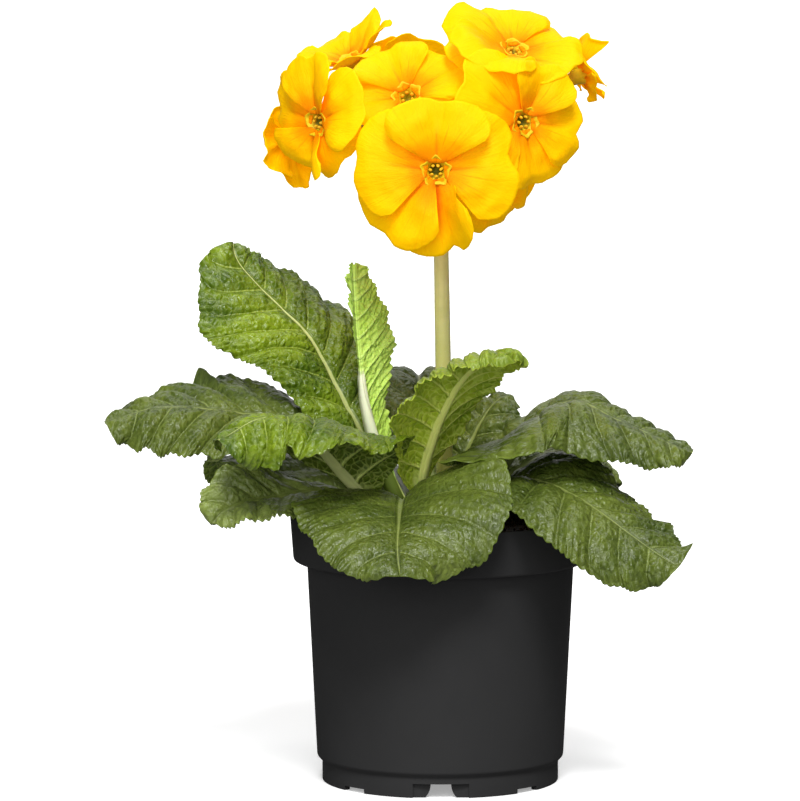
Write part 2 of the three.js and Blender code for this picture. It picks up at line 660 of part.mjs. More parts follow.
// The corolla as one closed skin: a tube, a funnel with a raised star round it, and five petals that grow
// from a ring of ten points between the two, each petal from two of them.
function bloomGeometry(bloom) {
  const axes = axesFacing(facingOf(bloom));
  const eye = new THREE.Vector3(...bloom.eye);
  const points = [];
  const triangles = [];
  const vertex = (x, y, z) => points.push(placed(axes, eye, x, y, z)) - 1;
  const quad = (a, b, c, d) => triangles.push([a, b, c], [a, c, d]);
  const pair = (petal, along, across) => {
    const { x, y, z } = petalPoint(bloom, petal, along, across);
    return { upper: vertex(x, y, z + PETAL.thickness / 2), lower: vertex(x, y, z - PETAL.thickness / 2) };
  };
  const circle = (radiusAt, heightAt) =>
    Array.from({ length: 10 }, (_, i) => {
      const angle = rad(72 + bloom.spin + 36 * i);
      return vertex(radiusAt(i) * Math.cos(angle), radiusAt(i) * Math.sin(angle), heightAt(i));
    });

  const { tube, tubeRadius, throatDepth, throatRadius, starRadii, starRise } = COROLLA;
  const roots = Array.from({ length: 10 }, (_, i) => pair(Math.floor(i / 2), 0, i % 2 ? -1 : 1));
  const star = circle((i) => starRadii[i % 2], (i) => dishOf(bloom, starRadii[i % 2]) + starRise);
  const throat = circle(() => throatRadius, () => -throatDepth);
  const tubeEnd = circle(() => tubeRadius, () => -tube);
  const funnelFoot = vertex(0, 0, -throatDepth + 0.8);
  const tubeFoot = vertex(0, 0, -tube);
  for (let i = 0; i < 10; i++) {
    const next = (i + 1) % 10;
    triangles.push([star[i], star[next], funnelFoot]);
    quad(roots[i].upper, roots[next].upper, star[next], star[i]);
    quad(roots[next].lower, roots[i].lower, throat[i], throat[next]);
    quad(throat[next], throat[i], tubeEnd[i], tubeEnd[next]);
    triangles.push([tubeEnd[next], tubeEnd[i], tubeFoot]);
    if (i % 2) {
      quad(roots[next].upper, roots[i].upper, roots[i].lower, roots[next].lower);
    }
  }

  const acrosses = [-1, -0.5, 0, 0.5, 1];
  for (let petal = 0; petal < 5; petal++) {
    const right = roots[2 * petal];
    const left = roots[2 * petal + 1];
    const rows = [0.38, 0.72, 1].map((along) => acrosses.map((across) => pair(petal, along, across)));
    const face = (a, b, c) => {
      triangles.push([a.upper, b.upper, c.upper], [a.lower, c.lower, b.lower]);
    };
    const wall = (a, b) => quad(a.upper, b.upper, b.lower, a.lower);
    const [p0, p1, p2, p3, p4] = rows[0];
    face(left, p1, p0);
    face(left, p2, p1);
    face(left, right, p2);
    face(right, p3, p2);
    face(right, p4, p3);
    for (let i = 0; i < rows.length - 1; i++) {
      for (let j = 0; j < 4; j++) {
        face(rows[i][j], rows[i][j + 1], rows[i + 1][j + 1]);
        face(rows[i][j], rows[i + 1][j + 1], rows[i + 1][j]);
      }
    }
    [left, ...rows.map((row) => row[0])].forEach((point, i, edge) => i && wall(edge[i - 1], point));
    [right, ...rows.map((row) => row[4])].forEach((point, i, edge) => i && wall(point, edge[i - 1]));
    rows.at(-1).forEach((point, j, edge) => j && wall(edge[j - 1], point));
  }
  return geometryFrom(points, triangles);
}

// The flower stalk: scape, bracts, pedicels and calyces in one piece

// A five-toothed calyx with a plain hole for the corolla's tube.
function calyxSolid(foot, axes) {
  const ring = (radii, heights) =>
    Array.from({ length: 10 }, (_, k) => {
      const angle = (2 * Math.PI * k) / 10;
      const side = k % 2;
      return placed(axes, foot, radii[side] * Math.cos(angle), radii[side] * Math.sin(angle), heights[side]);
    });
  const { length, notch, rootRadius, bellyRadius, mouthRadius, holeRadius, holeFoot } = CALYX;
  const rings = [
    ring([rootRadius, rootRadius], [0, 0]),
    ring([bellyRadius, bellyRadius * 0.88], [length * 0.4, length * 0.4]),
    ring([mouthRadius, mouthRadius * 0.88], [length, notch]),
    ring([holeRadius, holeRadius], [holeFoot, holeFoot]),
  ];
  return solidOf(skinOver(foot, rings, placed(axes, foot, 0, 0, holeFoot)));
}

// Where a bloom's calyx begins, behind its tube.
function calyxFoot(bloom) {
  const back = COROLLA.tube + GAP + CALYX.holeFoot;
  return new THREE.Vector3(...bloom.eye).addScaledVector(facingOf(bloom), -back);
}

function pedicelSolid(bloom) {
  const start = new THREE.Vector3(...UMBEL);
  const end = calyxFoot(bloom);
  const facing = facingOf(bloom);
  const reach = start.distanceTo(end);
  const leave = end.clone().sub(start).normalize().add(new THREE.Vector3(0, 0, 0.6)).normalize();
  const curve = new THREE.CubicBezierCurve3(
    start,
    start.clone().addScaledVector(leave, reach * 0.4),
    end.clone().addScaledVector(facing, -reach * 0.35),
    end.clone().addScaledVector(facing, 0.6),
  );
  return solidOf(stemAlong(curve, 1.2, 1.1, 5, 3));
}

function bractSolid(index) {
  const angle = (2 * Math.PI * (index + 0.3)) / BRACTS.count;
  const outward = new THREE.Vector3(Math.cos(angle), Math.sin(angle), -0.25);
  const root = new THREE.Vector3(...UMBEL).add(new THREE.Vector3(0, 0, -1.4));
  const curve = new THREE.LineCurve3(root, root.clone().addScaledVector(outward, BRACTS.length));
  return solidOf(stemAlong(curve, BRACTS.width, 0.35, 4, 1));
}

function stalkGeometry() {
  const foot = new THREE.Vector3(...SCAPE.foot);
  const top = new THREE.Vector3(...UMBEL);
  const waist = foot.clone().lerp(top, 0.5).add(new THREE.Vector3(0.5, 0, 0));
  const scape = stemAlong(
    new THREE.QuadraticBezierCurve3(foot, waist, top),
    SCAPE.radiusFoot,
    SCAPE.radiusTop,
    SCAPE.sides,
    SCAPE.steps,
  );
  const knob = new THREE.SphereGeometry(3.1, 8, 5).translate(...UMBEL);
  const bracts = Array.from({ length: BRACTS.count }, (_, k) => bractSolid(k));
  const heads = BLOOMS.flatMap((bloom) => [
    pedicelSolid(bloom),
    calyxSolid(calyxFoot(bloom), axesFacing(facingOf(bloom))),
  ]);
  return geometryOf(largestBody(joined([solidOf(scape), solidOf(knob), ...bracts, ...heads])));
}

// A second, unopened umbel low in the rosette
function youngBudsGeometry() {
  const { stemRadius, buds, budLength, budRadius } = YOUNG_BUDS;
  const root = new THREE.Vector3(...YOUNG_BUDS.foot);
  const head = new THREE.Vector3(...YOUNG_BUDS.head);
  const pieces = [solidOf(stemAlong(new THREE.LineCurve3(root, head), stemRadius, stemRadius, 6, 1))];
  for (let k = 0; k < buds; k++) {
    const angle = (2 * Math.PI * k) / buds;
    const lean = k === 0 ? 0.1 : 0.42;
    const direction = new THREE.Vector3(lean * Math.cos(angle), lean * Math.sin(angle), 1).normalize();
    const axes = axesFacing(direction);
    const start = head.clone().addScaledVector(direction, -2);
    const ring = (radius, height) =>
      Array.from({ length: 5 }, (_, i) => {
        const turn = (2 * Math.PI * i) / 5;
        return placed(axes, start, radius * Math.cos(turn), radius * Math.sin(turn), height);
      });
    const rings = [ring(0.9, 0.4), ring(budRadius, 4.5), ring(1.2, 8.5)];
    pieces.push(solidOf(skinOver(start, rings, placed(axes, start, 0, 0, budLength))));
  }
  return geometryOf(largestBody(joined(pieces)));
}

// The plant

const finish = (color, roughness) => new THREE.MeshStandardMaterial({ color, roughness, metalness: 0 });

function piece(name, geometry, material) {
  const mesh = new THREE.Mesh(geometry, material);
  mesh.name = name;
  return mesh;
}

const pottedOxlip = new THREE.Group();
const plant = new THREE.Group();
plant.position.set(...POT_AXIS);
pottedOxlip.add(plant);

plant.add(piece("pot", potGeometry(), finish(0x202022, 0.55)));
plant.add(piece("soil", soilGeometry(), finish(0x2a1712, 0.95)));
plant.add(piece("crown", crownGeometry(), finish(0x8a8a45, 0.8)));
for (const leaf of LEAVES) {
  plant.add(piece(leaf.name, leafGeometry(leaf), finish(leaf.colour, 0.5)));
}
plant.add(piece("flower_stalk", stalkGeometry(), finish(0xb9bf7a, 0.6)));
for (const bloom of BLOOMS) {
  plant.add(piece(bloom.name, bloomGeometry(bloom), finish(0xffcf00, 0.6)));
}
plant.add(piece("young_buds", youngBudsGeometry(), finish(0x9db048, 0.6)));

export default pottedOxlip;
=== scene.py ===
"""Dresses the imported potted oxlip: leaves, blooms, stalk, buds, crown, compost and pot, in a small studio.

Sizes of the pieces are in millimetres, as in the part, and become metres when a mesh is made.
"""

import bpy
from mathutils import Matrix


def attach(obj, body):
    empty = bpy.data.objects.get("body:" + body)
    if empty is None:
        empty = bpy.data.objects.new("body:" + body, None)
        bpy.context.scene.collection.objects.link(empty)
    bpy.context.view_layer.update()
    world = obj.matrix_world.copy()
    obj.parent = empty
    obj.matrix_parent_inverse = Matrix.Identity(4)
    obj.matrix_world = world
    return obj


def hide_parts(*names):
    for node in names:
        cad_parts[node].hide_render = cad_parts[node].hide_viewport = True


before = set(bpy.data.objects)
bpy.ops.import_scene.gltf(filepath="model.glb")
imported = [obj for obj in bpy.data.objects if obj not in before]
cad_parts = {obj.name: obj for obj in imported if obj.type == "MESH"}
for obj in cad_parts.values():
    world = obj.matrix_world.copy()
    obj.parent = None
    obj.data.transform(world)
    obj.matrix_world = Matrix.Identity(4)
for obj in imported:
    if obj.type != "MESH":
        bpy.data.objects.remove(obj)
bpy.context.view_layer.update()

import logging
import math
from dataclasses import dataclass, field, replace
from enum import Enum
from typing import Any, Optional, Sequence

import bpy
import numpy as np
from mathutils import Vector

Array = np.ndarray
Colour = tuple[float, float, float]
Place = tuple[float, float, float]
Material = bpy.types.Material
Finishes = dict[str, Material]
Piece = bpy.types.Object
Socket = bpy.types.NodeSocket

log = logging.getLogger("potted_oxlip")

MM = 0.001
POT_AXIS = np.array([14.8, 0.0, 0.0])


# Numbers and curves

def mix(a: Any, b: Any, share: Any) -> Any:
    """Returns the value a share of the way from a to b."""
    return a + (b - a) * share


def smooth(value: Any, low: float, high: float) -> Any:
    """Returns a smooth step of value, 0 below low and 1 above high."""
    t = np.clip((value - low) / (high - low), 0.0, 1.0)
    return t * t * (3 - 2 * t)


def unit(vectors: Array) -> Array:
    """Returns the vectors at length 1."""
    return vectors / np.maximum(np.linalg.norm(vectors, axis=-1, keepdims=True), 1e-12)


def along_list(values: Sequence, share: Array) -> Array:
    """Reads values off a smooth curve through a list at even steps.

    Args:
        values: The numbers or points at even steps from 0 to 1.
        share: Where to read, from 0 to 1, in any shape.

    Returns:
        One entry for each share, with the shape of a value behind it.
    """
    v = np.asarray(values, float)
    single = v.ndim == 1
    v = v[:, None] if single else v
    last = len(v) - 1
    padded = np.vstack([2 * v[0] - v[1], v, 2 * v[-1] - v[-2]])
    x = np.clip(share, 0, 1) * last
    i = np.minimum(x.astype(int), last - 1)
    t = (x - i)[..., None]
    p0, p1, p2, p3 = padded[i], padded[i + 1], padded[i + 2], padded[i + 3]
    out = p1 + 0.5 * t * (p2 - p0 + t * ((3 * p1 - p0 - 3 * p2 + p3) * t + 2 * p0 - 5 * p1 + 4 * p2 - p3))
    return out[..., 0] if single else out


def scatter(a: Array, b: Array, seed: float) -> Array:
    """Returns a fixed pseudo-random number from 0 to 1 for each pair of whole numbers."""
    x = np.sin(a * 127.1 + b * 311.7 + seed * 74.7) * 43758.5453
    return x - np.floor(x)


def ripple(a: Array, b: Array, seed: float) -> Array:
    """Makes smooth value noise over a plane.

    Args:
        a: First coordinate, in cells.
        b: Second coordinate, in cells.
        seed: Picks the pattern.

    Returns:
        The noise at each point, from -1 to 1.
    """
    ia, ib = np.floor(a), np.floor(b)
    fa, fb = a - ia, b - ib
    ua, ub = fa * fa * (3 - 2 * fa), fb * fb * (3 - 2 * fb)
    low = mix(scatter(ia, ib, seed), scatter(ia + 1, ib, seed), ua)
    high = mix(scatter(ia, ib + 1, seed), scatter(ia + 1, ib + 1, seed), ua)
    return 2 * mix(low, high, ub) - 1


def quilt(a: Array, b: Array, seed: float, jitter: float = 0.36) -> Array:
    """Measures a net of irregular cells.

    Args:
        a: First coordinate, in cells.
        b: Second coordinate, in cells.
        seed: Picks the net.
        jitter: How far a cell's centre strays from its square, in cells.

    Returns:
        The distance from the nearest wall between two cells, about 0 to 1.
    """
    ia, ib = np.floor(a), np.floor(b)
    nearest = np.full(np.shape(a), 9.0)
    second = np.full(np.shape(a), 9.0)
    for da in (-1, 0, 1):
        for db in (-1, 0, 1):
            ca, cb = ia + da, ib + db
            xa = ca + 0.5 + jitter * (2 * scatter(ca, cb, seed) - 1)
            xb = cb + 0.5 + jitter * (2 * scatter(ca, cb, seed + 5.3) - 1)
            gap = np.hypot(xa - a, xb - b)
            second = np.minimum(second, np.maximum(gap, nearest))
            nearest = np.minimum(nearest, gap)
    return second - nearest


class Path:
    """A smooth curve through points, read by its share of length."""

    def __init__(self, points: Sequence) -> None:
        """Takes the points that the curve passes through."""
        self.points = np.asarray(points, float)
        self.steps = np.linspace(0, 1, 200 * (len(points) - 1) + 1)
        places = along_list(self.points, self.steps)
        run = np.r_[0, np.cumsum(np.linalg.norm(np.diff(places, axis=0), axis=1))]
        self.length = float(run[-1])
        self.run = run / run[-1]

    def at(self, share: Array) -> Array:
        """Returns the points at these shares of the length."""
        return along_list(self.points, np.interp(share, self.run, self.steps))

    def ahead(self, share: Array) -> Array:
        """Returns the directions of the curve at these shares of the length."""
        low, high = np.clip(share - 1e-3, 0, 1), np.clip(share + 1e-3, 0, 1)
        return unit(self.at(high) - self.at(low))


def turns(count: int) -> Array:
    """Returns this many angles, evenly spread round a full turn."""
    return np.linspace(0, 2 * np.pi, count, endpoint=False)


def circled(radius: Any, angle: Array, height: Any) -> Array:
    """Returns points at a distance from the third axis, at angles round it and at a height along it."""
    return np.stack([radius * np.cos(angle), radius * np.sin(angle), height + 0 * angle], -1)


def compass(azimuth: float, elevation: float) -> Array:
    """Returns a direction from its azimuth, 0 to the front and 90 to the right, and elevation, in degrees."""
    a, e = math.radians(azimuth), math.radians(elevation)
    return np.array([math.sin(a) * math.cos(e), -math.cos(a) * math.cos(e), math.sin(e)])


def rounded(start: Array, corner: Array, end: Array, t: Array) -> Array:
    """Returns the points at shares t of a curve from start to end that bends towards a corner."""
    return start * (1 - t) ** 2 + 2 * corner * t * (1 - t) + end * t * t


def column(values: Sequence[float]) -> Array:
    """Returns one value for each ring, to be spread over its sides."""
    return np.asarray(values, float)[:, None]


# Meshes

@dataclass
class Skin:
    """Points, faces and values at the points, in millimetres from the pot's axis, not yet a mesh."""

    points: Array
    faces: list
    values: dict[str, Array] = field(default_factory=dict)
    plane: Optional[Array] = None
    slots: Optional[list[int]] = None


def merged_skins(skins: Sequence[Skin]) -> Skin:
    """Joins skins.

    Args:
        skins: Skins that hold the same named values, and no slots yet.

    Returns:
        One skin that holds them all.
    """
    first = skins[0]
    starts = np.cumsum([0] + [len(skin.points) for skin in skins]).tolist()
    faces = [tuple(i + start for i in face) for skin, start in zip(skins, starts) for face in skin.faces]
    values = {key: np.concatenate([skin.values[key] for skin in skins]) for key in first.values}
    plane = None if first.plane is None else np.concatenate([skin.plane for skin in skins])
    return Skin(np.concatenate([skin.points for skin in skins]), faces, values, plane)


def linked(name: str, data: Any) -> Piece:
    """Puts a mesh, lamp or camera into the scene.

    Args:
        name: The object's name.
        data: What it shows.

    Returns:
        The new object, at the origin.
    """
    thing = bpy.data.objects.new(name, data)
    bpy.context.scene.collection.objects.link(thing)
    return thing


def tied(piece: Piece, node: Optional[str] = None) -> Piece:
    """Ties a piece to the part's only body.

    Args:
        piece: The piece.
        node: The node of the part that it replaces, if any.

    Returns:
        The piece.
    """
    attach(piece, "root")
    if node:
        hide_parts(node)
    return piece


def applied(piece: Piece) -> bpy.types.Mesh:
    """Makes a plain mesh of a piece with its modifiers' result.

    Args:
        piece: The piece with its modifiers still live.

    Returns:
        The mesh.
    """
    bpy.context.view_layer.update()
    graph = bpy.context.evaluated_depsgraph_get()
    return bpy.data.meshes.new_from_object(piece.evaluated_get(graph), depsgraph=graph)


def shade_smooth(mesh: bpy.types.Mesh) -> None:
    """Shades all faces of a mesh smooth."""
    mesh.polygons.foreach_set("use_smooth", np.ones(len(mesh.polygons), bool))


def piece_from(name: str, skin: Skin, finishes: Sequence[Material] = ()) -> Piece:
    """Makes a smooth-shaded object from a skin.

    Args:
        name: The piece's name.
        skin: Its points and faces.
        finishes: Its materials, by slot.

    Returns:
        The object, linked to the scene, at the origin.
    """
    mesh = bpy.data.meshes.new(name)
    mesh.from_pydata(((skin.points + POT_AXIS) * MM).tolist(), [], skin.faces)
    for key, value in skin.values.items():
        layer = mesh.attributes.new(key, "FLOAT", "POINT")
        layer.data.foreach_set("value", np.asarray(value, np.float32).ravel())
    if skin.plane is not None:
        corners = np.zeros(len(mesh.loops), np.int32)
        mesh.loops.foreach_get("vertex_index", corners)
        layer = mesh.uv_layers.new(name="UVMap")
        layer.data.foreach_set("uv", skin.plane[corners].astype(np.float32).ravel())
    for finish in finishes:
        mesh.materials.append(finish)
    if skin.slots is not None:
        mesh.polygons.foreach_set("material_index", np.asarray(skin.slots, np.int32))
    shade_smooth(mesh)
    mesh.update()
    return linked(name, mesh)


def grid_faces(rows: int, columns: int, start: int = 0, flip: bool = False, closed: bool = False) -> list:
    """Lists the quads of a grid of points.

    Args:
        rows: Number of rows.
        columns: Number of points in a row.
        start: Index of the first point.
        flip: Turns the faces over.
        closed: Joins the last column to the first.

    Returns:
        Faces as tuples of four indices.
    """
    i = np.arange(rows - 1)[:, None]
    j = np.arange(columns if closed else columns - 1)[None, :]
    k = (j + 1) % columns
    corners = [i * columns + j, (i + 1) * columns + j, (i + 1) * columns + k, i * columns + k]
    quads = np.stack([np.broadcast_to(c, (rows - 1, j.shape[1])) for c in corners], -1).reshape(-1, 4) + start
    return [tuple(q) for q in (quads[:, ::-1] if flip else quads).tolist()]


def sheet_faces(rows: int, columns: int) -> list:
    """Lists the faces of a thin sheet.

    Args:
        rows: Number of rows of points.
        columns: Number of points in a row.

    Returns:
        Faces of an upper grid, of a lower grid whose points come after it, and of the walls between them.
    """
    under = rows * columns
    faces = grid_faces(rows, columns) + grid_faces(rows, columns, under, flip=True)
    for i in range(rows - 1):
        a, b = i * columns, (i + 1) * columns
        faces.append((a, a + under, b + under, b))
        a, b = a + columns - 1, b + columns - 1
        faces.append((b, b + under, a + under, a))
    for j in range(columns - 1):
        faces.append((j + 1, j + 1 + under, j + under, j))
        a = (rows - 1) * columns + j
        faces.append((a, a + under, a + 1 + under, a + 1))
    return faces


def sheet_skin(upper: Array, lower: Array, values: dict[str, Array], plane: Array) -> Skin:
    """Makes a thin closed sheet between two grids of points.

    Args:
        upper: Points of the upper face, by row and column.
        lower: Points of the lower face.
        values: Named values for each point of one face, used for both.
        plane: Flat coordinates for each point of one face.

    Returns:
        The skin, with the value "under" 0 on the upper face and 1 on the lower.
    """
    rows, columns = upper.shape[:2]
    both = {k: np.concatenate([v.ravel(), v.ravel()]) for k, v in values.items()}
    both["under"] = np.repeat([0.0, 1.0], rows * columns)
    points = np.concatenate([upper.reshape(-1, 3), lower.reshape(-1, 3)])
    flat = np.concatenate([plane.reshape(-1, 2)] * 2)
    return Skin(points, sheet_faces(rows, columns), both, flat)


def turned_skin(rings: Array, values: Optional[dict[str, Array]] = None) -> Skin:
    """Closes a stack of rings of points, from the first ring's middle to the last one's.

    Args:
        rings: Points by ring and side, turning left as seen from the last ring towards the first.
        values: Named values by ring and side.

    Returns:
        The closed skin.
    """
    count, sides = rings.shape[:2]
    points = np.concatenate([rings.reshape(-1, 3), [rings[0].mean(0), rings[-1].mean(0)]])
    faces = grid_faces(count, sides, flip=True, closed=True)
    foot, top = count * sides, count * sides + 1
    last = (count - 1) * sides
    for k in range(sides):
        n = (k + 1) % sides
        faces.append((foot, n, k))
        faces.append((last + k, last + n, top))
    extra = {}
    for key, value in (values or {}).items():
        v = np.broadcast_to(value, (count, sides))
        extra[key] = np.concatenate([v.ravel(), [v[0].mean(), v[-1].mean()]])
    return Skin(points, faces, extra)


def tube_rings(points: Array, radii: Array, sides: int, flatness: float = 1.0) -> Array:
    """Sweeps a round section along points.

    Args:
        points: The middle line.
        radii: Its radius at each point.
        sides: Points round the section.
        flatness: Height of the section as a share of its width.

    Returns:
        Rings of points.
    """
    ahead = unit(np.gradient(points, axis=0))
    side = np.cross(ahead[0], [0.31, 0.17, 0.93])
    frames = []
    for direction in ahead:
        side = unit(side - direction * (side @ direction))
        frames.append((side, np.cross(direction, side)))
    angle = turns(sides)[:, None]
    rings = [
        centre + radius * (np.cos(angle) * right + flatness * np.sin(angle) * up)
        for centre, radius, (right, up) in zip(points, radii, frames)
    ]
    return np.array(rings)


def axes_facing(direction: Array) -> Array:
    """Returns a right-handed set of axes, one to a row, whose third one is the direction."""
    ahead = unit(np.asarray(direction, float))
    side = unit(np.array([-ahead[1], ahead[0], 0.0]))
    return np.array([side, np.cross(ahead, side), ahead])


def bezier(controls: Sequence[Array], steps: int) -> Array:
    """Draws a cubic Bezier curve.

    Args:
        controls: Its start, its two handles and its end.
        steps: Number of points.

    Returns:
        The points along it.
    """
    t = np.linspace(0, 1, steps)[:, None]
    a, b, c, d = controls
    return a * (1 - t) ** 3 + 3 * b * t * (1 - t) ** 2 + 3 * c * t * t * (1 - t) + d * t ** 3


# Node trees

class Nodes:
    """Adds nodes to one tree and joins them."""

    def __init__(self, tree: bpy.types.NodeTree) -> None:
        """Takes the tree that the nodes go into."""
        self.tree = tree

    def feed(self, socket: Socket, value: Any) -> None:
        """Links or sets an input.

        Args:
            socket: The input.
            value: The socket to link to it, or its value; a colour may leave out its alpha.
        """
        if isinstance(value, bpy.types.NodeSocket):
            self.tree.links.new(value, socket)
        elif socket.type == "RGBA" and len(value) == 3:
            socket.default_value = (*value, 1.0)
        else:
            socket.default_value = value

    def feed_all(self, sockets: Any, values: dict) -> None:
        """Feeds several inputs, by number or by name, with "_" for a space in a name."""
        for key, value in values.items():
            self.feed(sockets[key.replace("_", " ") if isinstance(key, str) else key], value)

    def add(self, kind: str, inputs: Optional[dict] = None, **settings: Any) -> bpy.types.Node:
        """Adds a node.

        Args:
            kind: The node's type in Blender.
            inputs: What its inputs are fed with, by number or name.
            **settings: Its properties by name.

        Returns:
            The node.
        """
        node = self.tree.nodes.new(kind)
        for name, value in settings.items():
            setattr(node, name, value)
        self.feed_all(node.inputs, inputs or {})
        return node

    def placed(self, tree: bpy.types.NodeTree, **inputs: Any) -> Any:
        """Places a node group and returns its outputs."""
        return self.add("ShaderNodeGroup", inputs, node_tree=tree).outputs

    def math(self, operation: str, a: Any, b: Any = 0.0, clamp: bool = False) -> Socket:
        """Returns the result of a Math node."""
        return self.add("ShaderNodeMath", {0: a, 1: b}, operation=operation, use_clamp=clamp).outputs[0]

    def times(self, a: Any, b: Any) -> Socket:
        """Returns a product."""
        return self.math("MULTIPLY", a, b)

    def plus(self, a: Any, b: Any, clamp: bool = False) -> Socket:
        """Returns a sum."""
        return self.math("ADD", a, b, clamp)

    def minus(self, a: Any, b: Any) -> Socket:
        """Returns a difference."""
        return self.math("SUBTRACT", a, b)

    def vector(self, operation: str, *inputs: Any) -> Socket:
        """Returns the vector that a Vector Math node makes of its inputs."""
        return self.add("ShaderNodeVectorMath", dict(enumerate(inputs)), operation=operation).outputs[0]

    def scaled(self, vector: Any, factor: Any) -> Socket:
        """Returns a vector times a number."""
        return self.add("ShaderNodeVectorMath", {0: vector, "Scale": factor}, operation="SCALE").outputs[0]

    def step(self, value: Any, low: Any, high: Any, start: Any = 0.0, end: Any = 1.0) -> Socket:
        """Returns a smooth step from start to end as value goes from low to high."""
        inputs = {"Value": value, "From Min": low, "From Max": high, "To Min": start, "To Max": end}
        return self.add("ShaderNodeMapRange", inputs, interpolation_type="SMOOTHSTEP").outputs["Result"]

    def blend(self, share: Any, a: Any, b: Any) -> Socket:
        """Returns a colour between a and b."""
        return self.add("ShaderNodeMix", {0: share, 6: a, 7: b}, data_type="RGBA").outputs[2]

    def coated(self, colour: Any, *coats: tuple[Any, Any]) -> Any:
        """Lays coats over a colour.

        Args:
            colour: The colour below.
            *coats: The share and the colour of each coat.

        Returns:
            The colour on top.
        """
        for share, coat in coats:
            colour = self.blend(share, colour, coat)
        return colour

    def value(self, name: str) -> Socket:
        """Returns a named value stored at the piece's points."""
        return self.add("ShaderNodeAttribute", attribute_name=name).outputs["Fac"]

    def stretched(self, vector: Any, scale: Colour) -> Socket:
        """Returns a vector scaled along each axis."""
        return self.add("ShaderNodeMapping", {"Vector": vector, "Scale": scale}).outputs["Vector"]

    def noise(self, vector: Any, scale: Any, detail: float = 3.0, rough: float = 0.55) -> Socket:
        """Returns the value of a Noise texture."""
        inputs = {"Vector": vector, "Scale": scale, "Detail": detail, "Roughness": rough}
        return self.add("ShaderNodeTexNoise", inputs).outputs["Fac"]

    def object_place(self) -> Socket:
        """Returns the Object coordinates."""
        return self.add("ShaderNodeTexCoord").outputs["Object"]

    def flat_place(self) -> Socket:
        """Returns the piece's own flat coordinates."""
        return self.add("ShaderNodeUVMap", uv_map="UVMap").outputs["UV"]


def new_group(name: str, inputs: dict[str, Optional[float]], outputs: Sequence[str]) -> tuple:
    """Makes an empty shader node group with named sockets.

    Args:
        name: The group's name.
        inputs: The name and default of each input, None for a vector.
        outputs: The names of its outputs, all numbers.

    Returns:
        The tree, its Nodes, the sockets of its inputs and the sockets of its outputs.
    """
    tree = bpy.data.node_groups.new(name, "ShaderNodeTree")
    for label, default in inputs.items():
        kind = "NodeSocketVector" if default is None else "NodeSocketFloat"
        socket = tree.interface.new_socket(label, in_out="INPUT", socket_type=kind)
        if default is not None:
            socket.default_value = default
    for label in outputs:
        tree.interface.new_socket(label, in_out="OUTPUT", socket_type="NodeSocketFloat")
    n = Nodes(tree)
    return tree, n, n.add("NodeGroupInput").outputs, n.add("NodeGroupOutput").inputs


def mottle_group() -> bpy.types.NodeTree:
    """Makes the uneven tone and the fine grain that the plant, its compost and its pot share.

    Returns:
        The group, with the outputs Tone and Grain.
    """
    inputs = {"Place": None, "Scale": 60.0, "Fine": 900.0}
    tree, n, given, out = new_group("mottle", inputs, ("Tone", "Grain"))
    n.feed(out["Tone"], n.step(n.noise(given["Place"], given["Scale"]), 0.3, 0.7))
    n.feed(out["Grain"], n.noise(given["Place"], given["Fine"], 2.0))
    return tree


def vein_group() -> bpy.types.NodeTree:
    """Makes a leaf's midrib, side veins and fine net from the values stored at its points.

    Returns:
        The group, with an output for each kind of vein and for the blisters between them.
    """
    tree, n, given, out = new_group(
        "leaf_veins",
        {
            "Flat": None, "Phase": 0.0, "Share": 0.0, "Reach": 0.0, "Along": 0.0,
            "Net Scale": 400.0, "Vein Width": 0.05,
        },
        ("Midrib", "Side Veins", "Net", "Blister", "Under Rib", "Under Veins"),
    )
    flat, share, reach, along = (given[name] for name in ("Flat", "Share", "Reach", "Along"))
    phase = n.plus(given["Phase"], n.times(n.minus(n.noise(flat, 40.0), 0.5), 0.16))
    off = n.math("ABSOLUTE", n.minus(phase, n.math("ROUND", phase)))
    width = n.times(given["Vein Width"], n.step(share, 0.0, 1.0, 1.15, 0.3))
    thick = n.step(along, 0.0, 1.0, 2.0, 0.75)
    below = n.step(reach, n.times(thick, 0.8), thick, 1.0, 0.0)
    below = n.times(below, n.step(along, 0.9, 1.0, 1.0, 0.0))
    beside = n.minus(1.0, below)
    rib = n.step(along, 0.0, 0.9, 1.35, 0.22)
    swirl = n.add("ShaderNodeTexNoise", {"Vector": flat, "Scale": 90.0}).outputs["Color"]
    bent = n.vector("MULTIPLY_ADD", swirl, (0.004, 0.004, 0.004), flat)
    net = {"Vector": bent, "Scale": given["Net Scale"]}
    edge = n.add("ShaderNodeTexVoronoi", net, feature="DISTANCE_TO_EDGE").outputs["Distance"]
    wrinkle = n.step(n.noise(bent, n.times(given["Net Scale"], 1.1), 2.5, 0.6), 0.25, 0.75, 0.0, 0.6)
    n.feed_all(out, {
        "Midrib": n.step(reach, n.times(rib, 0.6), rib, 1.0, 0.0),
        "Side Veins": n.times(n.step(off, n.times(width, 0.35), width, 1.0, 0.0), beside),
        "Net": n.step(edge, 0.02, 0.13, 1.0, 0.0),
        "Blister": n.plus(n.times(n.step(edge, 0.0, 0.5), 0.75), wrinkle),
        "Under Rib": below,
        "Under Veins": n.times(n.step(off, width, n.times(width, 2.6), 1.0, 0.0), beside),
    })
    return tree


class Groups:
    """The shared node groups, made once."""

    def __init__(self) -> None:
        """Builds the groups."""
        self.mottle, self.veins = mottle_group(), vein_group()


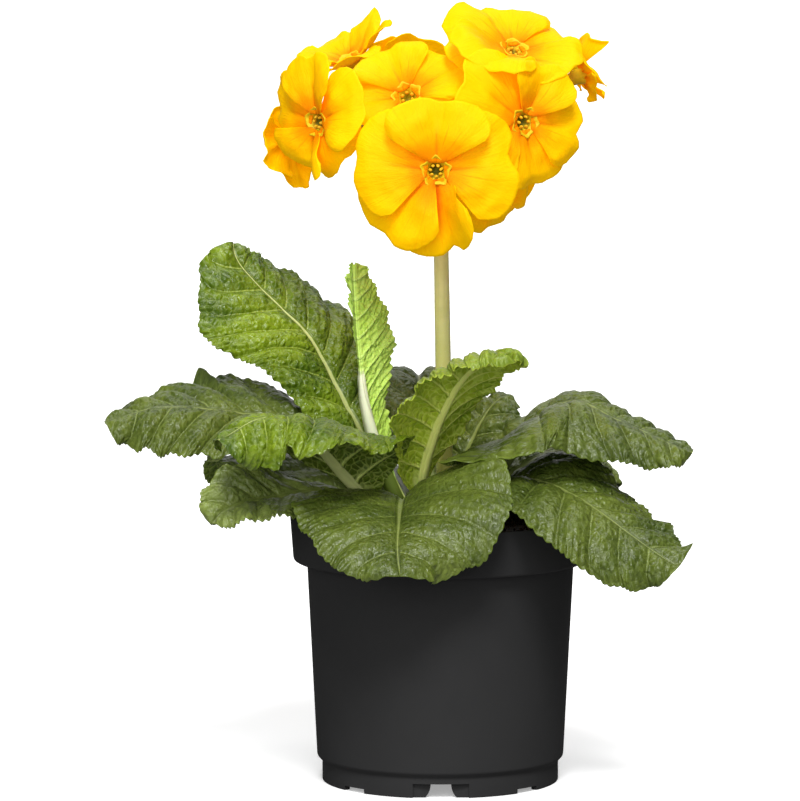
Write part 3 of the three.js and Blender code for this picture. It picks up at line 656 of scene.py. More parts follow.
def new_finish(name: str) -> tuple[Material, Nodes, bpy.types.Node]:
    """Makes a material with only a Principled BSDF in it.

    Args:
        name: The material's name.

    Returns:
        The material, its Nodes and its Principled BSDF.
    """
    material = bpy.data.materials.new(name)
    material.use_nodes = True
    material.node_tree.nodes.clear()
    n = Nodes(material.node_tree)
    shader = n.add("ShaderNodeBsdfPrincipled")
    n.add("ShaderNodeOutputMaterial", {"Surface": shader.outputs["BSDF"]})
    return material, n, shader


def dress(
    n: Nodes, shader: bpy.types.Node, height: Socket, strength: float, depth: float, **inputs: Any,
) -> None:
    """Gives a shader its relief and its other inputs.

    Args:
        n: The material's nodes.
        shader: The Principled BSDF.
        height: The relief's height, about 0 to 1.
        strength: Strength of the Bump node.
        depth: How far a height of 1 stands out, in metres.
        **inputs: The shader's other inputs, with "_" for a space in a name.
    """
    bump = n.add("ShaderNodeBump", {"Strength": strength, "Distance": depth, "Height": height})
    n.feed_all(shader.inputs, {"Normal": bump.outputs["Normal"], **inputs})


# Finishes

@dataclass(frozen=True)
class LeafFinish:
    """A crinkled leaf: two tones above, two below, pale veins, painted shade in its creases and a satin
    sheen.
    """

    name: str
    dark: Colour
    light: Colour
    vein: Colour
    under_dark: Colour
    under_light: Colour
    under_vein: Colour
    rib: Colour
    petiole: Colour
    slot: str = "leaf_old"
    roughness: float = 0.36
    glow: float = 0.04
    relief: float = 0.0005

    def material(self, groups: Groups) -> Material:
        """Builds the leaf's material.

        Args:
            groups: The shared node groups.

        Returns:
            The material.
        """
        material, n, shader = new_finish(self.name)
        share, under, crease_shade, stalk = (n.value(name) for name in ("share", "under", "crease_shade", "stalk"))
        veins = n.placed(
            groups.veins, Flat=n.flat_place(), Phase=n.value("phase"), Share=share, Reach=n.value("reach"),
            Along=n.value("along"), Net_Scale=80.0, Vein_Width=0.035,
        )
        tone = n.placed(groups.mottle, Place=n.object_place(), Scale=55.0, Fine=900.0)
        faint = n.step(share, 0.1, 0.95, 0.5, 0.12)
        above = n.coated(
            self.dark, (tone["Tone"], self.light),
            # painted shade: the creases between the blisters are darkened towards a deeper copy of the dark
            # tone
            (n.times(crease_shade, 0.36), tuple(0.42 * c for c in self.dark)),
            (n.times(veins["Net"], 0.12), self.vein),
            (n.times(veins["Side Veins"], faint), self.vein),
            (n.times(veins["Midrib"], 0.8), self.rib),
        )
        below = n.coated(
            self.under_dark, (tone["Tone"], self.under_light),
            (n.times(veins["Net"], 0.35), self.under_vein),
            (n.times(veins["Under Veins"], 0.9), self.under_vein),
            (veins["Under Rib"], self.rib),
        )
        rim = n.times(n.step(share, 0.965, 1.0), 0.45)
        colour = n.coated(above, (under, below), (rim, self.under_light), (stalk, self.petiole))
        speckle = n.times(n.minus(tone["Grain"], 0.5), 0.35)
        rough = n.plus(n.step(under, 0.0, 1.0, self.roughness, self.roughness + 0.22), speckle, clamp=True)
        raised = n.times(n.plus(veins["Under Veins"], veins["Midrib"]), 0.5)
        plain = n.minus(1.0, n.times(veins["Under Rib"], 0.9))
        height = n.times(n.plus(veins["Blister"], n.times(tone["Grain"], 0.1)), plain)
        height = n.plus(height, n.times(raised, n.step(under, 0.0, 1.0, -0.35, 1.0)))
        height = n.times(height, n.step(stalk, 0.0, 1.0, 1.0, 0.15))
        dress(
            n, shader, height, 1.0, self.relief, Base_Color=colour, Roughness=rough, Specular_IOR_Level=0.4,
            Subsurface_Weight=self.glow, Subsurface_Radius=(0.5, 1.0, 0.15), Subsurface_Scale=0.002,
        )
        return material


@dataclass(frozen=True)
class PetalFinish:
    """A matt petal, bright at its margin and deeper at its foot, with fine rays, painted shade in its folds
    and a painted glow.
    """

    name: str = "petal"
    edge: Colour = (1.0, 0.7, 0.0)
    margin: Colour = (0.95, 0.51, 0.0)
    middle: Colour = (0.95, 0.43, 0.0)
    foot: Colour = (0.93, 0.26, 0.0)
    fold: Colour = (0.66, 0.1, 0.0)
    ray: Colour = (0.86, 0.24, 0.0)

    def material(self, groups: Groups) -> Material:
        """Builds the petal's material.

        Args:
            groups: The shared node groups.

        Returns:
            The material.
        """
        material, n, shader = new_finish(self.name)
        along, fold, flat = n.value("along"), n.value("fold"), n.flat_place()
        tone = n.placed(groups.mottle, Place=n.object_place(), Scale=90.0, Fine=700.0)
        spread = n.plus(along, n.times(n.minus(tone["Tone"], 0.5), 0.14))
        rays = n.noise(n.stretched(flat, (46.0, 1.5, 1.0)), 1.0, 3.0, 0.65)
        rays = n.times(n.step(rays, 0.53, 0.68), n.step(along, 0.15, 0.95, 0.75, 0.16))
        rim = n.times(n.step(n.value("share"), 0.93, 1.0), 0.4)
        colour = n.coated(
            self.foot, (n.step(spread, 0.1, 0.48), self.middle), (n.step(spread, 0.32, 0.92), self.margin),
            # painted shade: the fold mask darkens the central groove, the gaps round the star and a folded
            # petal's shaded half to deep orange
            (rays, self.ray), (n.times(fold, 0.85), self.fold), (rim, self.edge),
        )
        fine = n.noise(n.stretched(flat, (60.0, 5.0, 1.0)), 1.0, 3.0, 0.6)
        dress(
            n, shader, n.plus(n.times(fine, 0.7), n.times(tone["Grain"], 0.3)), 0.8, 0.0005,
            Base_Color=colour, Roughness=n.plus(0.52, n.times(tone["Grain"], 0.2)), Specular_IOR_Level=0.06,
            # painted light: a faint glow in the petal's own colour, left out where the folds are painted in
            # shade
            Emission_Color=n.blend(fold, colour, (0, 0, 0)), Emission_Strength=0.25,
            Subsurface_Weight=0.2, Subsurface_Radius=(0.7, 0.6, 0.02), Subsurface_Scale=0.004,
        )
        return material


@dataclass(frozen=True)
class TissueFinish:
    """Soft plant tissue that goes from one colour at its foot to another at its tip."""

    name: str
    foot: Colour
    tip: Colour
    shade: Colour
    roughness: float = 0.5
    glow: float = 0.2
    streak: float = 0.0
    relief: float = 0.0002
    sheen: float = 0.0

    def material(self, groups: Groups) -> Material:
        """Builds the material.

        Args:
            groups: The shared node groups.

        Returns:
            The material.
        """
        material, n, shader = new_finish(self.name)
        place = n.object_place()
        tone = n.placed(groups.mottle, Place=place, Scale=130.0, Fine=1500.0)
        lines = n.noise(n.stretched(place, (900.0, 900.0, 30.0)), 1.0, 2.0)
        colour = n.coated(
            self.foot, (n.step(n.value("tip"), 0.0, 1.0), self.tip),
            (n.times(tone["Tone"], 0.45), self.shade),
            (n.times(n.step(lines, 0.45, 0.7), self.streak), self.shade),
        )
        dress(
            n, shader, n.plus(n.times(tone["Grain"], 0.6), n.times(lines, 0.4)), 0.5, self.relief,
            Base_Color=colour, Roughness=n.plus(self.roughness - 0.1, n.times(tone["Grain"], 0.2)),
            Subsurface_Weight=self.glow, Subsurface_Radius=(0.8, 1.0, 0.3), Subsurface_Scale=0.002,
            Sheen_Weight=self.sheen, Specular_IOR_Level=0.25,
        )
        return material


@dataclass(frozen=True)
class PotFinish:
    """Matt charcoal-black moulded plastic with faint flow marks and scuffs."""

    name: str = "pot_plastic"
    colour: Colour = (0.026, 0.026, 0.0264)
    worn: Colour = (0.034, 0.034, 0.0344)
    scuffed: Colour = (0.05, 0.05, 0.05)

    def material(self, groups: Groups) -> Material:
        """Builds the pot's material.

        Args:
            groups: The shared node groups.

        Returns:
            The material.
        """
        material, n, shader = new_finish(self.name)
        place = n.object_place()
        tone = n.placed(groups.mottle, Place=place, Scale=22.0, Fine=1800.0)
        flow = n.noise(n.stretched(place, (14.0, 14.0, 90.0)), 1.0)
        scuff = n.step(n.noise(n.stretched(place, (300.0, 300.0, 60.0)), 1.0, 4.0, 0.7), 0.66, 0.82)
        dress(
            n, shader, n.plus(n.times(tone["Grain"], 0.5), n.times(flow, 0.5)), 0.25, 0.0001,
            Base_Color=n.coated(
                self.colour, (n.times(tone["Tone"], 0.4), self.worn), (n.times(scuff, 0.3), self.scuffed),
            ),
            Roughness=n.plus(n.plus(0.74, n.times(flow, 0.14)), n.times(scuff, 0.12)),
            Specular_IOR_Level=0.06,
        )
        return material


@dataclass(frozen=True)
class CompostFinish:
    """Crumbly peat: dark red-brown, with paler fibres and dry crumbs."""

    name: str
    dark: Colour = (0.012, 0.005, 0.004)
    light: Colour = (0.07, 0.024, 0.014)
    pale: Colour = (0.16, 0.07, 0.035)

    def material(self, groups: Groups) -> Material:
        """Builds the compost's material.

        Args:
            groups: The shared node groups.

        Returns:
            The material.
        """
        material, n, shader = new_finish(self.name)
        place = n.object_place()
        tone = n.placed(groups.mottle, Place=place, Scale=260.0, Fine=1600.0)
        fibre = n.noise(n.stretched(place, (1500.0, 260.0, 400.0)), 1.0)
        colour = n.coated(self.dark, (tone["Tone"], self.light), (n.step(fibre, 0.62, 0.75), self.pale))
        dress(
            n, shader, n.plus(n.times(tone["Grain"], 0.5), n.times(fibre, 0.5)), 0.9, 0.0006,
            Base_Color=colour, Roughness=n.plus(0.72, n.times(tone["Grain"], 0.25)),
        )
        return material


OLD_LEAF = LeafFinish(
    name="leaf_old",
    dark=(0.052, 0.08, 0.009), light=(0.134, 0.177, 0.023), vein=(0.24, 0.3, 0.07),
    under_dark=(0.07, 0.11, 0.007), under_light=(0.13, 0.19, 0.015), under_vein=(0.42, 0.5, 0.14),
    rib=(0.26, 0.31, 0.085), petiole=(0.2, 0.25, 0.06), roughness=0.37,
)
# painted light: a lighter copy of the old leaf, for old leaves that lie in the shade of others
LIGHTENED_OLD_LEAF = replace(OLD_LEAF, name="leaf_old_lightened", dark=(0.11, 0.15, 0.03), light=(0.26, 0.33, 0.07))
MID_LEAF = LeafFinish(
    name="leaf_mid", slot="leaf_mid",
    dark=(0.06, 0.115, 0.004), light=(0.22, 0.32, 0.009), vein=(0.42, 0.52, 0.1),
    under_dark=(0.06, 0.1, 0.004), under_light=(0.13, 0.19, 0.01), under_vein=(0.58, 0.68, 0.18),
    rib=(0.64, 0.7, 0.27), petiole=(0.45, 0.53, 0.15), roughness=0.31, glow=0.06, relief=0.0006,
)
CUPPED_LEAF = LeafFinish(
    name="leaf_cupped", slot="leaf_young",
    dark=(0.19, 0.28, 0.014), light=(0.3, 0.4, 0.045), vein=(0.46, 0.56, 0.14),
    under_dark=(0.25, 0.35, 0.01), under_light=(0.5, 0.62, 0.04), under_vein=(0.78, 0.87, 0.2),
    rib=(0.84, 0.9, 0.25), petiole=(0.53, 0.61, 0.18), roughness=0.4, glow=0.1,
)
YOUNG_LEAF = LeafFinish(
    name="leaf_young", slot="leaf_young",
    dark=(0.2, 0.38, 0.006), light=(0.37, 0.58, 0.03), vein=(0.5, 0.68, 0.14),
    under_dark=(0.39, 0.63, 0.05), under_light=(0.56, 0.82, 0.15), under_vein=(0.56, 0.8, 0.17),
    # painted shade: the petiole is dark green, where it shows in the shade at the heart of the rosette
    rib=(0.8, 0.84, 0.58), petiole=(0.14, 0.2, 0.025), roughness=0.4, glow=0.12,
)
# The stalk runs from a dark olive foot to a near-white top: partly its own colour, partly painted light on
# the top, which the blooms shade.
STALK_FINISH = TissueFinish(
    "stem", (0.34, 0.35, 0.05), (0.98, 0.93, 0.43), (0.62, 0.61, 0.2),
    roughness=0.45, glow=0.35, streak=0.2, sheen=0.2,
)
DOWN_FINISH = TissueFinish(
    "down", (0.7, 0.72, 0.5), (0.8, 0.8, 0.62), (0.6, 0.62, 0.4), roughness=0.6, sheen=0.3,
)
# The eye's foot colour is near black: partly the throat's own dark green, partly painted shade deep in the
# throat.
EYE_FINISH = TissueFinish(
    "eye", (0.08, 0.1, 0.001), (0.88, 0.6, 0.006), (0.66, 0.48, 0.0), roughness=0.6, glow=0.1, relief=0.0003,
)
ANTHER_FINISH = TissueFinish(
    "anther", (0.9, 0.5, 0.015), (0.95, 0.56, 0.03), (0.9, 0.48, 0.01), roughness=0.6, glow=0.1,
)
BUD_FINISH = TissueFinish(
    "bud", (0.2, 0.33, 0.03), (0.66, 0.62, 0.12), (0.28, 0.4, 0.06), glow=0.25, streak=0.3,
)
CROWN_FINISH = TissueFinish(
    "crown", (0.12, 0.05, 0.02), (0.3, 0.25, 0.07), (0.2, 0.1, 0.03),
    roughness=0.75, glow=0.05, streak=0.6, relief=0.0006,
)


# Leaves

class Detail(Enum):
    """How finely a leaf is meshed: rows and columns of one face."""

    FINE = (236, 59)
    PLAIN = (130, 41)


@dataclass(frozen=True)
class Curl:
    """A short stretch of a leaf's margin that curls.

    place is its share of the blade's length, half is 1 for the left half and -1 for the right, spread is its
    width as a share too, and lift and push say how far the margin rises and moves out, in millimetres.
    """

    place: float
    half: int
    spread: float
    lift: float
    push: float = 0.0

    def weight(self, u: Array, hand: Array) -> Array:
        """Returns how much of the curl is felt at places along the blade on each half."""
        return (hand == self.half) * np.exp(-(((u - self.place) / self.spread) ** 2))


@dataclass
class Leaf:
    """One leaf, on the same spine and slopes as its solid in the part.

    spine is the midrib from crown to tip, stalk the share of it that is bare, and half_width the blade's at
    its widest share. left and right are the slopes of each half at midrib and margin, ruffle, waves and phase
    the height, number and start of the margin's waves, and heading is where it points, in degrees
    counter-clockwise from the right as seen from above. The fullness of a half widens it along the leaf,
    pleat and blister are the heights of its relief, lobe and tooth those of its margin, cord is the height
    of its side veins below, and rib_run how far its thick rib runs. shoulder widens the blade's foot, and
    back is how far that foot reaches back past the stalk.
    """

    name: str
    spine: list
    stalk: float
    half_width: float
    widest: float
    left: list
    right: list
    ruffle: float
    waves: float
    phase: float
    veins: int
    finish: LeafFinish = OLD_LEAF
    heading: Optional[float] = None
    detail: Detail = Detail.PLAIN
    tooth: float = 1.0
    lobe: float = 0.5
    blister: float = 0.65
    left_fullness: Sequence[float] = (1.3, 1.1, 1.0, 1.0)
    right_fullness: Sequence[float] = (1.3, 1.1, 1.0, 1.0)
    rib_run: float = 1.0
    pleat: float = 1.7
    back: float = 0.0
    shoulder: float = 0.0
    cord: float = 0.55
    curls: tuple[Curl, ...] = ()

    STALK_ROWS = 14
    LAST_ROW = 0.987
    PETIOLE = 2.2
    THICKNESS = 0.5
    RIB = (2.2, 0.4)
    SLANT = 0.8
    WING = 2.6
    TOOTH_PITCH = 2.5
    TOOTH_HEIGHT = 0.85
    HAND_SHIFT = 0.31
    CELL = 4.4
    SMALL_CELL = 2.1
    GROOVE = 0.45
    FAN = 0.36
    FLAT_SCALE = 200

    def outline(self, u: Array) -> Array:
        """Returns the share of the full half width at shares u of the blade."""
        power = math.log(0.5) / math.log(self.widest)
        bulge = np.maximum(np.sin(np.pi * np.clip(u, 0, 1) ** power), 0)
        return bulge ** mix(0.88, 0.5, np.clip(u, 0, 1))

    def grid(self) -> tuple[Array, Array]:
        """Lays out the leaf's grid.

        Returns:
            Each point's place along the leaf and its place across it, by row and column.
        """
        rows, columns = self.detail.value
        blade = np.linspace(0, 1, rows - self.STALK_ROWS)
        bare = np.linspace(0, self.stalk, self.STALK_ROWS, endpoint=False)
        along = np.concatenate([bare, mix(self.stalk, 1.0, blade * self.LAST_ROW)])
        even = np.linspace(-1, 1, columns)
        return np.meshgrid(along, np.sin(0.5 * np.pi * even) * 0.45 + even * 0.55, indexing="ij")

    def skin(self) -> Skin:
        """Builds both faces of the leaf with their pleats, blisters, veins and toothed margin.

        Returns:
            The closed skin with the values that the finish reads.
        """
        along, across = self.grid()
        path = Path(self.spine)
        chord = path.points[-1] - path.points[0]
        heading = math.atan2(chord[1], chord[0]) if self.heading is None else math.radians(self.heading)
        level = np.cross([0, 0, 1.0], [math.cos(heading), math.sin(heading), 0])
        hand, share = np.where(across < 0, -1.0, 1.0), np.abs(across)
        u = np.clip((along - self.stalk) / (1 - self.stalk), 0, 1)
        s = along + self.SLANT * share * (1 - self.stalk) * u * (1 - u)
        width = self.width(s, u, hand)
        ahead = path.ahead(s)
        side = unit(level - ahead * (ahead @ level)[..., None])
        up = np.cross(ahead, side)

        length = path.length * (1 - self.stalk)
        seed = (sum(map(ord, self.name)) % 97) / 7.0
        leafy = np.clip(self.outline(u) * 3, 0, 1)
        ribbed = np.clip(u / self.rib_run, 0, 1)
        reach = share * width
        teeth = self.tooth * (self.teeth(u, hand, length, seed) * leafy) * smooth(share, 0.55, 1.0)
        for curl in self.curls:
            teeth = teeth + curl.push * share ** 2 * curl.weight(u, hand)
        stretched = share * np.maximum(1 + teeth / np.maximum(width, 6.0), 0.2)

        slopes = np.where(hand[..., None] > 0, along_list(self.left, s), along_list(self.right, s))
        inner, outer = np.moveaxis(np.radians(slopes), -1, 0)
        bend = np.where(np.abs(outer - inner) < 1e-4, 1e-4, outer - inner)
        slope = inner + bend * stretched
        out = width / bend * (np.sin(slope) - np.sin(inner))
        rise = width / bend * (np.cos(inner) - np.cos(slope))
        tilt = np.where(share > 0, slope, 0.0)
        normal = up * np.cos(tilt)[..., None] - side * (hand * np.sin(tilt))[..., None]

        relief, crease_shade = self.relief(u, share, hand, reach, length, seed)
        wave = self.ruffle * share ** 3 * np.sin(2 * np.pi * self.waves * u + self.phase + hand * 0.9)
        for curl in self.curls:
            wave = wave + curl.lift * share ** 3 * curl.weight(u, hand)
        point = path.at(s) + side * (hand * out)[..., None] + up * rise[..., None]
        onward = np.array([math.cos(heading), math.sin(heading), 0.0])
        point = point - onward * (self.back * share ** 1.4 * np.exp(-((u / 0.16) ** 2)) * leafy)[..., None]
        upper = point + normal * (leafy * (relief + wave))[..., None]
        rib_half = mix(self.PETIOLE, 1.0, ribbed)
        rib_depth = mix(*self.RIB, ribbed) * (1 - smooth(ribbed, 0.85, 1.0) * (self.rib_run < 1))
        rib = rib_depth * np.sqrt(np.clip(1 - (reach / rib_half) ** 2, 0, 1))
        cord = self.cord * (1 - 0.7 * share) * np.exp(-((self.off_vein(u, length) / 0.75) ** 2))
        cord = cord * leafy * smooth(reach - rib_half, -0.4, 0.6)
        upper = upper - normal * (self.GROOVE * np.exp(-((reach / 1.1) ** 2)) * leafy)[..., None]
        plain = leafy * relief * (1 - smooth(reach - rib_half, -0.3, 1.2))
        depth = self.THICKNESS * mix(1, 0.7, share) + rib + cord + np.maximum(plain, -0.3)
        lower = upper - normal * depth[..., None]

        scale = self.FLAT_SCALE
        plane = np.stack([0.1 + (s - self.stalk) * path.length / scale, 0.5 + hand * reach / scale], -1)
        bare = (1 - smooth(u, 0.0, 0.12)) * (1 - smooth(reach, 2.4, 3.8))
        values = {
            "phase": u * self.veins, "share": share, "reach": reach, "along": ribbed,
            "crease_shade": crease_shade * leafy, "stalk": bare,
        }
        return sheet_skin(upper, lower, values, plane)

    def width(self, s: Array, u: Array, hand: Array) -> Array:
        """Measures the half width.

        Args:
            s: Places along the whole leaf.
            u: Places along the blade.
            hand: Which half.

        Returns:
            The distance from midrib to margin along the face, in millimetres.
        """
        in_blade = (s - self.stalk) / (1 - self.stalk)
        full = np.where(hand > 0, along_list(self.left_fullness, s), along_list(self.right_fullness, s))
        width = mix(self.PETIOLE, self.half_width * full, self.outline(in_blade))
        wing = smooth(s, 0.35 * self.stalk, self.stalk) * (1 - smooth(in_blade, 0.0, 0.35))
        width = width + self.WING * wing + self.shoulder * smooth(u, 0.0, 0.06) * (1 - smooth(u, 0.08, 0.5))
        return width * np.sqrt(np.clip(1 - np.clip((u / self.LAST_ROW - 0.92) / 0.08, 0, 1) ** 2, 0.0004, 1))

    def off_vein(self, u: Array, length: float) -> Array:
        """Returns the distance along the blade from the nearest side vein, in millimetres."""
        return np.abs(u * self.veins - np.round(u * self.veins)) / self.veins * length

    def teeth(self, u: Array, hand: Array, length: float, seed: float) -> Array:
        """Shapes the margin's small, uneven teeth and its lobes between the veins.

        Args:
            u: Places along the blade.
            hand: Which half.
            length: The blade's length.
            seed: Picks the pattern.

        Returns:
            How far the margin stands out, in millimetres.
        """
        count = length / self.TOOTH_PITCH
        place = u * count + 0.25 * ripple(u * count * 0.3, hand * 3.0, seed) + hand * self.HAND_SHIFT
        point = np.abs(np.sin(np.pi * place)) ** 0.75
        size = 0.7 + 0.3 * scatter(np.floor(place), hand, seed)
        lobes = np.cos(2 * np.pi * u * self.veins + 0.8 * ripple(u * self.veins, hand * 2.0, seed + 2))
        return self.TOOTH_HEIGHT * (point - 0.6) * size - self.lobe * lobes

    def relief(self, u: Array, share: Array, hand: Array, reach: Array, length: float, seed: float) -> tuple:
        """Raises the blade between its veins.

        Args:
            u: Places along the blade.
            share: Places across one half.
            hand: Which half.
            reach: Distance from the midrib.
            length: The blade's length.
            seed: Picks the pattern.

        Returns:
            The height of the relief in millimetres, and how deep in a crease each point lies, from 0 to 1, as
            painted shade.
        """
        puff = np.abs(np.sin(np.pi * u * self.veins)) ** 1.1
        pleat = self.pleat * puff * np.minimum(1, share * 3) * (1 - 0.45 * share)
        steps = max(2, round(length / self.veins / 4.6))
        a = u * self.veins * steps + 0.35 * ripple(u * 30, hand * reach * 0.3, seed)
        b = hand * reach / self.CELL + 0.35 * ripple(u * 26, hand * reach * 0.25, seed + 3)
        cells = 1 - np.exp(-((quilt(a, b, seed) / 0.42) ** 2))
        a2, b2 = u * length / self.SMALL_CELL, hand * reach / self.SMALL_CELL
        small = 1 - np.exp(-((quilt(a2, b2, seed + 9, 0.4) / 0.4) ** 2))
        between = smooth(self.off_vein(u, length), 0.1, 1.4) * smooth(reach, 0.6, 2.6)
        fan = np.cos(2 * np.pi * (u * length / self.TOOTH_PITCH + hand * self.HAND_SHIFT))
        fan = fan * smooth(share, 0.6, 0.97) * self.FAN
        broad = 0.5 * ripple(u * length / 9, hand * reach / 9, seed + 1.7) * share
        bubbles = between * (0.85 * self.blister * cells + 0.1 * small)
        height = pleat + bubbles - self.blister * 0.6 + fan + broad
        # the second value marks the creases between the blisters, which the finish darkens as painted shade
        return height, (1 - cells * between) * 0.8 + 0.2 * (1 - small)

    def build(self, finishes: Finishes) -> Piece:
        """Makes the leaf and ties it to its solid."""
        piece = piece_from(f"{self.name}_blade", self.skin(), [finishes[self.finish.name]])
        return tied(piece, self.name)


